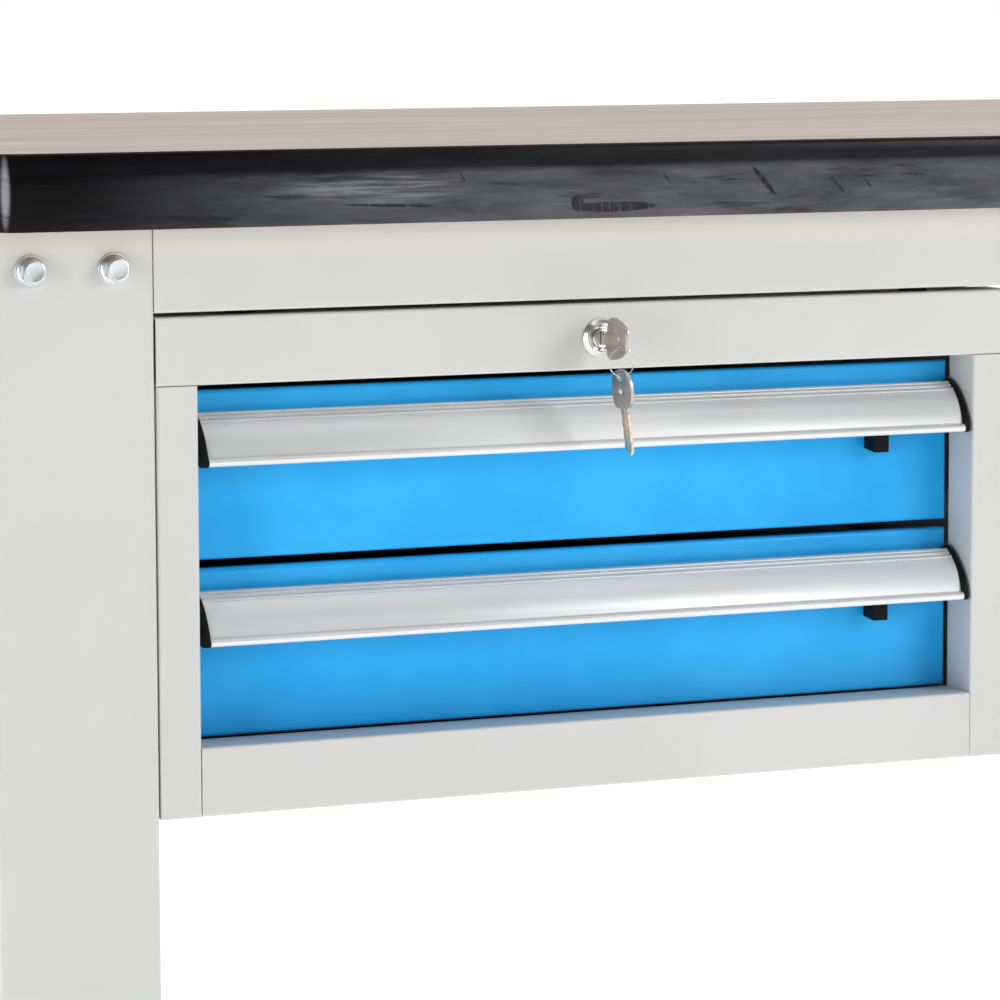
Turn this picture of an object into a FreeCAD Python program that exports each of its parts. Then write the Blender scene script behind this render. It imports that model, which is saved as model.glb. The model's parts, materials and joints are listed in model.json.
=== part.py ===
"""Workbench with a hanging two-drawer cabinet, as a parametric assembly.

Frame: +Z up, +X along the bench, the front faces -Y. The origin is on the floor, under the
centre of the box round the whole bench with its keys. Lengths are millimetres.
"""
import FreeCAD
import Part
import Sketcher

import math
import os
import re

Vector = FreeCAD.Vector
Rotation = FreeCAD.Rotation

SIZES = {
    # whole bench
    "bench_length": 1500.0,
    "bench_depth": 750.0,
    "bench_height": 850.0,
    "centre_shift": 10.0,       # the keys stand out in front, so the top's centre is behind the origin
    "front_overhang": 20.6,
    "back_overhang": 10.0,
    "end_overhang": 3.0,
    # worktop
    "top_thick": 46.0,
    "laminate_thick": 1.2,
    "band_thick": 4.0,
    "band_round": 3.0,
    "corner_round": 18.0,
    # frame
    "frame_sheet": 2.0,
    "fold_round": 1.6,
    "leg_width": 100.0,
    "leg_depth": 50.0,
    "leg_lift": 28.0,           # floor to the leg's lower end
    "foot_plate": 4.0,
    "beam_height": 51.0,
    "beam_depth": 40.0,
    "beam_seam": 0.3,
    "tongue_thick": 3.0,
    "tongue_inset": 4.0,
    "tongue_lap": 60.0,
    "rail_width": 60.0,
    "rail_height": 40.0,
    "rail_plate": 3.0,
    "rail_inset": 10.0,
    "stringer_inset": 3.0,      # leg's rear face to the low stringer
    "low_rail_level": 110.0,
    "stringer_level": 42.0,
    # M8 fasteners
    "bolt_across": 13.0,
    "bolt_hex_height": 7.0,
    "bolt_flange_wide": 17.6,
    "bolt_flange_thick": 1.5,
    "bolt_round": 4.0,          # shank radius
    "bolt_length": 16.0,
    "bolt_hole": 4.5,           # hole radius
    "washer_wide": 19.6,
    "washer_thick": 1.6,
    "nut_height": 6.8,
    "bolt_drop": 23.8,          # worktop's underside to the bolt's axis
    "bolt_near": 23.6,          # leg's outer edge to the first bolt
    "bolt_pitch": 51.5,
    # feet
    "foot_round": 24.0,
    "foot_height": 14.0,
    "foot_stem": 5.0,
    "foot_stem_top": 62.0,
    "foot_hex": 17.0,
    "foot_play": 0.05,
    # cabinet
    "leg_gap": 1.2,
    "cabinet_gap": 2.7,
    "cabinet_width": 580.0,
    "cabinet_height": 304.0,
    "cabinet_depth": 712.0,
    "cabinet_sheet": 1.5,
    "panel_sheet": 1.2,
    "frame_reach": 31.6,        # depth of the cabinet's front frame
    "upper_rail_tall": 41.4,
    "lower_rail_tall": 42.4,
    "stile_wide": 26.1,
    "frame_seam": 0.2,
    "sheet_round": 1.6,
    "shell_start": 8.0,         # cabinet's front plane to its side sheets
    "hanger_inset": 60.0,       # cabinet's side to the bolts that hang it
    "spacer_round": 9.0,
    # drawers
    "recess": 31.2,             # drawer front behind the cabinet's front frame
    "front_tall": 104.0,
    "first_drop": 47.3,         # cabinet's top to the upper drawer front's top
    "front_pitch": 109.3,
    "side_gap": 2.0,
    "front_deep": 7.0,
    "front_round": 2.8,
    "tray_gap": 13.0,           # side of the opening to the tray
    "tray_lift": 6.0,
    "tray_tall": 85.0,
    "tray_long": 650.0,
    "tray_wall": 1.0,
    "striker_long": 10.5,
    "striker_thick": 2.0,
    "striker_start": 4.8,       # drawer front's rear to the striker
    "striker_level": 66.0,
    "striker_tall": 20.0,
    # slides
    "slide_sheet": 1.5,
    "slide_tall": 44.0,
    "slide_inner_tall": 36.0,
    "slide_level": 35.0,        # drawer front's lower edge to the slide's middle
    "slide_long": 600.0,
    "slide_start": 50.0,        # cabinet's front plane to the slide
    "slide_lip": 8.5,
    "slide_inner_lip": 6.5,
    "slide_gap": 0.2,           # side of the opening to the slide's web
    "standoff_inset": 40.0,
    "standoff_long": 30.0,
    "standoff_tall": 28.0,
    # grip: its section runs out from the drawer front and down from its top
    "handle_drop": 11.2,
    "grip_tall": 32.4,
    "grip_reach": 33.8,
    "grip_wall": 2.2,
    "first_step": 11.4,
    "second_step": 17.2,
    "hood_drop": 7.1,
    "hood_round": 38.0,
    "grip_seat": 17.0,
    "cap_thick": 4.3,
    "cap_round": 49.0,
    # catch
    "catch_from_edge": 77.9,    # cabinet's right side to the catch
    "catch_wide": 10.6,
    "catch_reach": 14.6,
    "catch_top": 20.0,          # handle's top to the catch's top
    "catch_tall": 25.5,
    "catch_play": 0.3,
    "catch_travel": 6.0,
    "catch_inset": 2.0,
    "catch_neck_wide": 5.5,
    "catch_neck_tall": 10.0,
    "catch_keeper": 3.0,
    "catch_bevel": 6.0,
    # lock
    "lock_drop": 21.6,
    "bezel_round": 11.8,
    "bezel_face": 9.4,
    "bezel_high": 3.4,
    "lock_round": 8.9,
    "lock_long": 30.0,
    "plug_round": 6.0,
    "plug_play": 0.05,
    "plug_proud": 0.5,
    "plug_end": 34.0,
    "nut_across": 22.0,
    "nut_thick": 4.0,
    "cam_thick": 2.0,
    "cam_pin_drop": 8.0,
    "cam_pin_round": 2.0,
    "bar_start": 39.0,          # cabinet's front plane to the lock bar
    "bar_thick": 2.0,
    "bar_tall": 18.0,
    "bar_hook": 12.0,
    "bar_end": 16.0,            # lock's axis to the bar's left end
    "bar_top": 5.0,             # lock's axis to the bar's upper edge
    "hook_half": 6.0,
    "key_thick": 2.2,
    "key_bow_round": 13.0,
    "key_bow_out": 28.6,
    "key_blade_tall": 8.0,
    "key_neck_tall": 10.0,
    "key_bow_lift": 1.4,
    "key_eye_round": 6.6,
    "key_slot_play": 0.1,
    "ring_round": 8.2,
    "ring_wire": 0.6,
    "ring_out": 33.0,
    "ring_drop": 4.7,           # lock's axis to the ring's top wire
    "spare_bow_round": 12.3,
    "spare_eye_round": 2.2,
    "spare_eye_rim": 3.2,
    "spare_hole_round": 2.6,
    "spare_long": 54.0,
    "spare_blade_wide": 7.4,
    "spare_lean": 7.0,
    "spare_turn": 8.0,
}

doc = FreeCAD.newDocument("Workbench")
sheet = doc.addObject("Spreadsheet::Sheet", "Dims")
for row, (name, value) in enumerate(SIZES.items(), 1):
    sheet.set(f"A{row}", name)
    sheet.set(f"B{row}", str(value))
    sheet.setAlias(f"B{row}", name)
doc.recompute()


# ---------------------------------------------------------------- expressions and helpers

def bound(expression):
    """The expression with each size's name pointing at its cell."""
    def cell(word):
        return f"Dims.{word[0]}" if word[0] in SIZES else word[0]

    return re.sub(r"[a-z_]+", cell, str(expression))


def number(expression):
    return float(sheet.evalExpression(bound(expression)))


FRONT = "(centre_shift - bench_depth / 2 + front_overhang)"
BACK = "(centre_shift + bench_depth / 2 - back_overhang)"
UNDER = "(bench_height - top_thick)"
LEG_LEFT = "(-bench_length / 2 + end_overhang)"
CAB_LEFT = f"({LEG_LEFT} + leg_width + leg_gap)"
CAB_RIGHT = f"({CAB_LEFT} + cabinet_width)"
CAB_TOP = f"({UNDER} - beam_height - cabinet_gap)"
CAB_LOW = f"({CAB_TOP} - cabinet_height)"
OPEN_LEFT = f"({CAB_LEFT} + stile_wide)"
OPEN_RIGHT = f"({CAB_RIGHT} - stile_wide)"
LOCK_X = f"({CAB_LEFT} + cabinet_width / 2)"
LOCK_Z = f"({CAB_TOP} - lock_drop)"
DRAWERS = {"upper": "0", "lower": "1"}

exported = []


def handed_in(thing, label):
    """Names a finished sub-part; every named one is written as its own file."""
    thing.Label = label
    exported.append(thing)
    return thing


def new_body(label):
    return handed_in(doc.addObject("PartDesign::Body", label), label)


def plane_of(body, role):
    return next(plane for plane in body.Origin.OriginFeatures if plane.Role == role)


def arc_between(first, last, radius):
    """The minor arc of that radius; it turns left from first to last when radius is positive."""
    chord = last - first
    middle = (first + last) * 0.5
    side = Vector(-chord.y, chord.x, 0).normalize()
    rise = math.sqrt(max(radius ** 2 - (chord.Length / 2) ** 2, 0.0))
    centre = middle + side * (rise if radius > 0 else -rise)
    start, stop = (first, last) if radius > 0 else (last, first)
    angles = [math.atan2(p.y - centre.y, p.x - centre.x) for p in (start, stop)]
    circle = Part.Circle(centre, Vector(0, 0, 1), abs(radius))
    return Part.ArcOfCircle(circle, angles[0], angles[1])


def empty_sketch(body, role, level):
    sketch = body.newObject("Sketcher::SketchObject", "Outline")
    sketch.AttachmentSupport = [(plane_of(body, role), "")]
    sketch.MapMode = "FlatFace"
    sketch.setExpression("AttachmentOffset.Base.z", bound(level))
    return sketch


def bind_constraint(sketch, name, constraint, size):
    made = sketch.addConstraint(constraint)
    sketch.renameConstraint(made, name)
    sketch.setExpression(f"Constraints.{name}", bound(size))


def circle_sketch(body, role, circle, level):
    """A circle given as its centre's two coordinates and its radius."""
    sketch = empty_sketch(body, role, level)
    across, up, radius = (number(size) for size in circle)
    sketch.addGeometry(Part.Circle(Vector(across, up, 0), Vector(0, 0, 1), radius), False)
    bind_constraint(sketch, "across", Sketcher.Constraint("DistanceX", -1, 1, 0, 3, across), circle[0])
    bind_constraint(sketch, "up", Sketcher.Constraint("DistanceY", -1, 1, 0, 3, up), circle[1])
    bind_constraint(sketch, "reach", Sketcher.Constraint("Radius", 0, radius), circle[2])
    return sketch


def outline_sketch(body, role, outline, level):
    """A closed outline on an origin plane; a point with a third entry is reached by an arc."""
    sketch = empty_sketch(body, role, level)
    spots = [Vector(number(point[0]), number(point[1]), 0) for point in outline]
    count = len(outline)
    starts, stops = [], []
    for n in range(count):
        first, last = spots[n - 1], spots[n]
        if len(outline[n]) == 3:
            radius = number(outline[n][2])
            sketch.addGeometry(arc_between(first, last, radius), False)
            ends = (1, 2) if radius > 0 else (2, 1)
        else:
            sketch.addGeometry(Part.LineSegment(first, last), False)
            ends = (1, 2)
        starts.append(ends[0])
        stops.append(ends[1])
    for n in range(count):
        after = (n + 1) % count
        sketch.addConstraint(Sketcher.Constraint("Coincident", n, stops[n], after, starts[after]))
    for n, point in enumerate(outline):
        for axis, spot, size in (("X", spots[n].x, point[0]), ("Y", spots[n].y, point[1])):
            fixed = Sketcher.Constraint(f"Distance{axis}", -1, 1, n, stops[n], spot)
            bind_constraint(sketch, f"corner{n}{axis}", fixed, size)
        if len(point) == 3:
            fixed = Sketcher.Constraint("Radius", n, abs(number(point[2])))
            bind_constraint(sketch, f"arc{n}", fixed, f"abs({point[2]})")
    return sketch


def extrude(body, along, outline, start, stop, cut=False, draw=outline_sketch):
    """A pad or pocket of the outline from start to stop along an axis of the part's frame."""
    role = {"X": "YZ_Plane", "Y": "XZ_Plane", "Z": "XY_Plane"}[along]
    before = body.Tip.Shape.Volume if cut else 0.0
    # the XZ plane looks along -Y, so its outline is set at the far end
    sketch = draw(body, role, outline, f"-({stop})" if along == "Y" else start)
    feature = body.newObject("PartDesign::Pocket" if cut else "PartDesign::Pad", "Extrude")
    feature.Profile = sketch
    feature.setExpression("Length", bound(f"({stop}) - ({start})"))
    if cut:
        # a pocket runs against its sketch's normal unless it is reversed
        feature.Reversed = True
    doc.recompute()
    if cut and not feature.Shape.Volume < before - 1e-3:
        raise RuntimeError(f"{body.Label}: a pocket removed nothing")
    return feature


def rectangle(u_low, v_low, u_high, v_high):
    return [(u_low, v_low), (u_high, v_low), (u_high, v_high), (u_low, v_high)]


def round_edges(body, radius, places):
    """Rounds the edges that lie wholly on any of the places, each a mapping of axis to level."""
    levels = [{axis: number(level) for axis, level in place.items()} for place in places]

    def lies_on(edge, place):
        return all(
            abs(getattr(corner.Point, axis) - level) < 1e-4
            for corner in edge.Vertexes for axis, level in place.items()
        )

    base = body.Tip
    names = [
        f"Edge{n}" for n, edge in enumerate(base.Shape.Edges, 1)
        if any(lies_on(edge, place) for place in levels)
    ]
    if not names:
        raise RuntimeError(f"{body.Label}: no edge to round")
    fillet = body.newObject("PartDesign::Fillet", "Round")
    fillet.Base = (base, names)
    fillet.setExpression("Radius", bound(radius))
    doc.recompute()
    return fillet


def drill(body, along, u, v, radius, start, stop):
    return extrude(body, along, (u, v, radius), start, stop, cut=True, draw=circle_sketch)


def place(thing, x, y, z):
    for axis, level in zip("xyz", (x, y, z)):
        thing.setExpression(f"Placement.Base.{axis}", bound(level))


TURNS = {"X": Rotation(Vector(0, 1, 0), 90), "Y": Rotation(Vector(1, 0, 0), -90), "Z": Rotation()}


def cylinder(along, radius, length, x, y, z):
    """A cylinder that starts at the point and runs along the positive axis."""
    rod = doc.addObject("Part::Cylinder", "Rod")
    rod.setExpression("Radius", bound(radius))
    rod.setExpression("Height", bound(length))
    rod.Placement.Rotation = TURNS[along]
    place(rod, x, y, z)
    return rod


def cone(along, near_radius, far_radius, length, x, y, z):
    taper = doc.addObject("Part::Cone", "Taper")
    taper.setExpression("Radius1", bound(near_radius))
    taper.setExpression("Radius2", bound(far_radius))
    taper.setExpression("Height", bound(length))
    taper.Placement.Rotation = TURNS[along]
    place(taper, x, y, z)
    return taper


def hexagon(along, across, length, x, y, z):
    prism = doc.addObject("Part::Prism", "Hex")
    prism.Polygon = 6
    prism.setExpression("Circumradius", bound(f"({across}) / 2 / cos(30 deg)"))
    prism.setExpression("Height", bound(length))
    prism.Placement.Rotation = TURNS[along]
    place(prism, x, y, z)
    return prism


def block(x_low, y_low, z_low, x_high, y_high, z_high):
    box = doc.addObject("Part::Box", "Block")
    place(box, x_low, y_low, z_low)
    for side, low, high in (("Length", x_low, x_high), ("Width", y_low, y_high), ("Height", z_low, z_high)):
        box.setExpression(side, bound(f"({high}) - ({low})"))
    return box


def fused(*shapes):
    joined = doc.addObject("Part::MultiFuse", "Joined")
    joined.Shapes = list(shapes)
    joined.Refine = True
    return joined


def minus(base, *tools):
    result = doc.addObject("Part::Cut", "Bored")
    result.Base = base
    result.Tool = tools[0] if len(tools) == 1 else fused(*tools)
    result.Refine = True
    return result


def shared_by(first, second):
    result = doc.addObject("Part::MultiCommon", "Shared")
    result.Shapes = [first, second]
    return result


def group(label, things):
    """Repeated small pieces that make one sub-part of several solids."""
    together = doc.addObject("Part::Compound", label)
    together.Links = things
    return handed_in(together, label)


# ---------------------------------------------------------------- frame

SIDES = {"left": (LEG_LEFT, "1"), "right": (f"(-{LEG_LEFT})", "-1")}
ENDS = {"front": (FRONT, "1"), "rear": (BACK, "-1")}


def span(a, b, sign):
    """Low and high of a stretch that starts at a and runs b towards the sign."""
    return (a, f"({a} + {b})") if sign == "1" else (f"({a} - {b})", a)


def leg_post(side, end):
    """Folded channel that opens towards the bench's inside, with a plate for its levelling foot."""
    x_left, x_right = span(SIDES[side][0], "leg_width", SIDES[side][1])
    face, towards = ENDS[end]
    body = new_body(f"{side}_{end}_post")

    def inwards(distance):
        return f"({face} + {towards} * ({distance}))"

    channel = [
        (x_left, face),
        (x_right, face),
        (x_right, inwards("leg_depth")),
        (f"{x_right} - frame_sheet", inwards("leg_depth")),
        (f"{x_right} - frame_sheet", inwards("frame_sheet")),
        (f"{x_left} + frame_sheet", inwards("frame_sheet")),
        (f"{x_left} + frame_sheet", inwards("leg_depth")),
        (x_left, inwards("leg_depth")),
    ]
    extrude(body, "Z", channel, "leg_lift", UNDER)
    near, far = sorted((inwards("frame_sheet"), inwards("leg_depth - frame_sheet")), key=number)
    plate = rectangle(f"{x_left} + frame_sheet", near, f"{x_right} - frame_sheet", far)
    extrude(body, "Z", plate, "leg_lift", "leg_lift + foot_plate")
    round_edges(body, "fold_round", [{"x": x_left, "y": face}, {"x": x_right, "y": face}])
    drill(
        body, "Z", f"({x_left} + leg_width / 2)", inwards("leg_depth / 2"),
        "(foot_stem + foot_play)", "leg_lift - 1", "leg_lift + foot_plate + 1",
    )
    for bolt in bolt_places(side):
        low, high = sorted((inwards("-1"), inwards("frame_sheet + 1")), key=number)
        drill(body, "Y", bolt, f"({UNDER} - bolt_drop)", "bolt_hole", low, high)
    # the beam's tongue passes through a notch in the inner flange
    flange_low, flange_high = (
        (f"{x_right} - frame_sheet - 1", f"{x_right} + 1") if side == "left"
        else (f"{x_left} - 1", f"{x_left} + frame_sheet + 1")
    )
    low, high = sorted((inwards("frame_sheet + 0.2"), inwards("leg_depth + 1")), key=number)
    notch = rectangle(flange_low, f"{UNDER} - beam_height - 2", flange_high, f"{UNDER} + 1")
    extrude(body, "Y", notch, low, high, cut=True)
    return body


def bolt_places(side):
    edge, sign = SIDES[side]
    return [f"({edge} + {sign} * {first})" for first in ("bolt_near", "(bolt_near + bolt_pitch)")]


def cross_beam(end):
    """Folded channel under the worktop, flush with the legs, with a tongue behind each leg's face."""
    face, towards = ENDS[end]
    body = new_body(f"{end}_beam")

    def inwards(distance):
        return f"({face} + {towards} * ({distance}))"

    low, high = f"({UNDER} - beam_height)", UNDER
    channel = [
        (face, low),
        (inwards("beam_depth"), low),
        (inwards("beam_depth"), f"{low} + frame_sheet"),
        (inwards("frame_sheet"), f"{low} + frame_sheet"),
        (inwards("frame_sheet"), f"{high} - frame_sheet"),
        (inwards("beam_depth"), f"{high} - frame_sheet"),
        (inwards("beam_depth"), high),
        (face, high),
    ]
    beam_end = f"({LEG_LEFT} + leg_width + beam_seam)"
    extrude(body, "X", channel, beam_end, f"-{beam_end}")
    for sign in ("1", "-1"):
        near, far = sorted((inwards("frame_sheet + 0.4"), inwards("frame_sheet + tongue_thick")), key=number)
        u_low, u_high = sorted(
            (f"({sign} * ({LEG_LEFT} + tongue_inset))", f"({sign} * ({beam_end} + tongue_lap))"), key=number,
        )
        tongue = rectangle(u_low, f"{low} + frame_sheet", u_high, f"{high} - frame_sheet")
        extrude(body, "Y", tongue, near, far)
    round_edges(body, "fold_round", [{"y": face, "z": low}, {"y": face, "z": high}])
    for side in SIDES:
        for bolt in bolt_places(side):
            near, far = sorted((inwards("0"), inwards("tongue_thick + 5")), key=number)
            drill(body, "Y", bolt, f"({UNDER} - bolt_drop)", "bolt_hole", near, far)
    for bolt in cabinet_bolt_places():
        middle = inwards("beam_depth / 2")
        drill(body, "Z", bolt, middle, "bolt_hole", f"{low} - 1", f"{low} + frame_sheet + 1")
    return body


def side_rail(side, level, name):
    """Folded channel between two legs, with a plate at each end that fills the leg's channel."""
    edge, sign = SIDES[side]
    middle = f"({edge} + {sign} * leg_width / 2)"
    body = new_body(f"{side}_{name}_rail")
    half, top = "rail_width / 2", level
    low = f"({level} - rail_height)"
    channel = [
        (f"{middle} - {half}", low),
        (f"{middle} - {half} + frame_sheet", low),
        (f"{middle} - {half} + frame_sheet", f"{top} - frame_sheet"),
        (f"{middle} + {half} - frame_sheet", f"{top} - frame_sheet"),
        (f"{middle} + {half} - frame_sheet", low),
        (f"{middle} + {half}", low),
        (f"{middle} + {half}", top),
        (f"{middle} - {half}", top),
    ]
    start = f"({FRONT} + leg_depth - rail_inset)"
    stop = f"({BACK} - leg_depth + rail_inset)"
    extrude(body, "Y", channel, start, stop)
    wide = "(leg_width / 2 - frame_sheet)"
    plate = rectangle(f"{middle} - {wide}", low, f"{middle} + {wide}", top)
    extrude(body, "Y", plate, start, f"{start} + rail_plate")
    extrude(body, "Y", plate, f"{stop} - rail_plate", stop)
    round_edges(body, "fold_round", [
        {"x": f"{middle} - {half}", "z": top}, {"x": f"{middle} + {half}", "z": top},
    ])
    return body


def lower_stringer():
    """Low cross channel between the rear legs."""
    body = new_body("lower_stringer")
    low, high = "stringer_level", "(stringer_level + beam_height)"
    face = f"({BACK} - stringer_inset)"
    inner = f"({face} - beam_depth)"
    channel = [
        (face, low),
        (face, high),
        (inner, high),
        (inner, f"{high} - frame_sheet"),
        (f"{face} - frame_sheet", f"{high} - frame_sheet"),
        (f"{face} - frame_sheet", f"{low} + frame_sheet"),
        (inner, f"{low} + frame_sheet"),
        (inner, low),
    ]
    reach = f"(-{LEG_LEFT} - leg_width)"
    extrude(body, "X", channel, f"-{reach}", reach)
    plate = rectangle(
        inner, f"{low} + frame_sheet / 2", f"{face} - frame_sheet / 2", f"{high} - frame_sheet / 2",
    )
    extrude(body, "X", plate, f"-{reach}", f"-{reach} + rail_plate")
    extrude(body, "X", plate, f"{reach} - rail_plate", reach)
    round_edges(body, "fold_round", [{"y": face, "z": low}, {"y": face, "z": high}])
    return body


def frame_bolt(end, x):
    """Hexagon bolt with a flange, seen from outside the leg, its tip inside."""
    face, towards = ENDS[end]
    level = f"({UNDER} - bolt_drop)"
    seat = f"({face} - {towards} * washer_thick)"
    head_length = "(bolt_flange_thick + bolt_hex_height)"
    outer = f"({seat} - {towards} * {head_length})"
    low_hex, shank = (outer, seat) if towards == "1" else (seat, f"({seat} - bolt_length)")
    hexagon_head = hexagon("Y", "bolt_across", head_length, x, low_hex, level)
    chamfer = cone(
        "Y", *(("bolt_across / 2 * 0.96", "bolt_across * 0.96") if towards == "1"
               else ("bolt_across * 0.96", "bolt_across / 2 * 0.96")),
        head_length, x, low_hex, level,
    )
    flange_from = f"({seat} - bolt_flange_thick)" if towards == "1" else seat
    flange = cone(
        "Y", *(("bolt_flange_wide / 2 - 0.8", "bolt_flange_wide / 2") if towards == "1"
               else ("bolt_flange_wide / 2", "bolt_flange_wide / 2 - 0.8")),
        "bolt_flange_thick", x, flange_from, level,
    )
    rod = cylinder("Y", "bolt_round", "bolt_length", x, shank, level)
    return fused(shared_by(hexagon_head, chamfer), flange, rod)


def frame_fasteners():
    level = f"({UNDER} - bolt_drop)"
    washers, nuts = [], []
    for end, (face, towards) in ENDS.items():
        bolts = []
        for side in SIDES:
            for x in bolt_places(side):
                bolts.append(frame_bolt(end, x))
                start = f"({face} - washer_thick)" if towards == "1" else face
                ring = cylinder("Y", "washer_wide / 2", "washer_thick", x, start, level)
                hole = cylinder("Y", "bolt_hole", "washer_thick", x, start, level)
                washers.append(minus(ring, hole))
                behind = f"({face} + {towards} * (frame_sheet + tongue_thick))"
                nut_start = behind if towards == "1" else f"({behind} - nut_height)"
                nut = hexagon("Y", "bolt_across", "nut_height", x, nut_start, level)
                bore = cylinder("Y", "bolt_round", "nut_height", x, nut_start, level)
                nuts.append(minus(nut, bore))
        group(f"{end}_frame_bolts", bolts)
    group("frame_washers", washers)
    group("frame_nuts", nuts)


def levelling_foot(side, end):
    """Round foot on a threaded stem that turns in the leg's plate."""
    edge, sign = SIDES[side]
    face, towards = ENDS[end]
    x = f"({edge} + {sign} * leg_width / 2)"
    y = f"({face} + {towards} * leg_depth / 2)"
    foot = fused(
        cylinder("Z", "foot_round", "foot_height * 0.45", x, y, "0"),
        cone("Z", "foot_round", "foot_round * 0.45", "foot_height * 0.55", x, y, "foot_height * 0.45"),
        cylinder("Z", "foot_stem", "foot_stem_top - foot_height", x, y, "foot_height"),
        hexagon("Z", "foot_hex", "leg_lift - foot_height - 5", x, y, "foot_height"),
    )
    handed_in(foot, f"foot_{side}_{end}")


# ---------------------------------------------------------------- worktop

def rounded_slab(body, inset, low, high, radius, cut=False):
    """A pad or pocket of the top's outline, moved in by inset, with round corners."""
    reach_x = f"(bench_length / 2 - {inset})"
    front = f"(centre_shift - bench_depth / 2 + {inset})"
    back = f"(centre_shift + bench_depth / 2 - {inset})"
    outline = [
        (f"{reach_x} - {radius}", front),
        (reach_x, f"{front} + {radius}", radius),
        (reach_x, f"{back} - {radius}"),
        (f"{reach_x} - {radius}", back, radius),
        (f"{radius} - {reach_x}", back),
        (f"-{reach_x}", f"{back} - {radius}", radius),
        (f"-{reach_x}", f"{front} + {radius}"),
        (f"{radius} - {reach_x}", front, radius),
    ]
    return extrude(body, "Z", outline, low, high, cut)


def worktop():
    inner_round = "(corner_round - band_thick)"
    board = new_body("worktop_board")
    rounded_slab(board, "band_thick", UNDER, "(bench_height - laminate_thick)", inner_round)
    laminate = new_body("worktop_laminate")
    rounded_slab(laminate, "band_thick", "(bench_height - laminate_thick)", "bench_height", inner_round)
    edge = new_body("worktop_edge")
    rounded_slab(edge, "0", UNDER, "bench_height", "corner_round")
    round_edges(edge, "band_round", [{"z": UNDER}, {"z": "bench_height"}])
    rounded_slab(edge, "band_thick", f"({UNDER} - 1)", "(bench_height + 1)", inner_round, cut=True)
    screws = []
    for side, (leg_edge, sign) in SIDES.items():
        for part in ("0.12", "0.5", "0.88"):
            x = f"({leg_edge} + {sign} * leg_width / 2)"
            y = f"({FRONT} + ({BACK} - {FRONT}) * {part})"
            below = f"({UNDER} - frame_sheet)"
            screws.append(fused(
                cone("Z", "2.6", "4.6", "3", x, y, f"{below} - 3"),
                cylinder("Z", "2.4", "frame_sheet + 30", x, y, below),
            ))
    group("worktop_screws", screws)


# ---------------------------------------------------------------- cabinet

def cabinet_bolt_places():
    return [f"({CAB_LEFT} + hanger_inset)", f"({CAB_RIGHT} - hanger_inset)"]


def channel_outline(face, depth, low, high):
    """Section of a channel that opens to the rear: (Y, Z) or (Y, X) pairs."""
    return [
        (face, low),
        (f"{face} + {depth}", low),
        (f"{face} + {depth}", f"{low} + cabinet_sheet"),
        (f"{face} + cabinet_sheet", f"{low} + cabinet_sheet"),
        (f"{face} + cabinet_sheet", f"{high} - cabinet_sheet"),
        (f"{face} + {depth}", f"{high} - cabinet_sheet"),
        (f"{face} + {depth}", high),
        (face, high),
    ]


def cabinet_rail(label, low, high, left, right):
    body = new_body(label)
    extrude(body, "X", channel_outline(FRONT, "frame_reach", low, high), left, right)
    round_edges(body, "sheet_round", [{"y": FRONT, "z": low}, {"y": FRONT, "z": high}])
    return body


def cabinet_stile(label, left, right):
    body = new_body(label)
    outline = [(x, y) for y, x in channel_outline(FRONT, "frame_reach", left, right)]
    extrude(body, "Z", outline, CAB_LOW, f"({CAB_TOP} - upper_rail_tall - frame_seam)")
    round_edges(body, "sheet_round", [{"x": left, "y": FRONT}, {"x": right, "y": FRONT}])
    return body


def cabinet_front():
    rail = cabinet_rail("upper_rail", f"({CAB_TOP} - upper_rail_tall)", CAB_TOP, CAB_LEFT, CAB_RIGHT)
    drill(rail, "Y", LOCK_X, LOCK_Z, "(lock_round + 0.1)", f"({FRONT} - 1)", f"({FRONT} + 3)")
    for bolt in cabinet_bolt_places():
        middle = f"({FRONT} + beam_depth / 2)"
        drill(rail, "Z", bolt, middle, "bolt_hole", f"({CAB_TOP} - 3)", f"({CAB_TOP} + 1)")
    left = f"({OPEN_LEFT} + frame_seam)"
    right = f"({OPEN_RIGHT} - frame_seam)"
    cabinet_rail("lower_rail", CAB_LOW, f"({CAB_LOW} + lower_rail_tall)", left, right)
    cabinet_stile("left_stile", CAB_LEFT, OPEN_LEFT)
    cabinet_stile("right_stile", OPEN_RIGHT, CAB_RIGHT)


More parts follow.
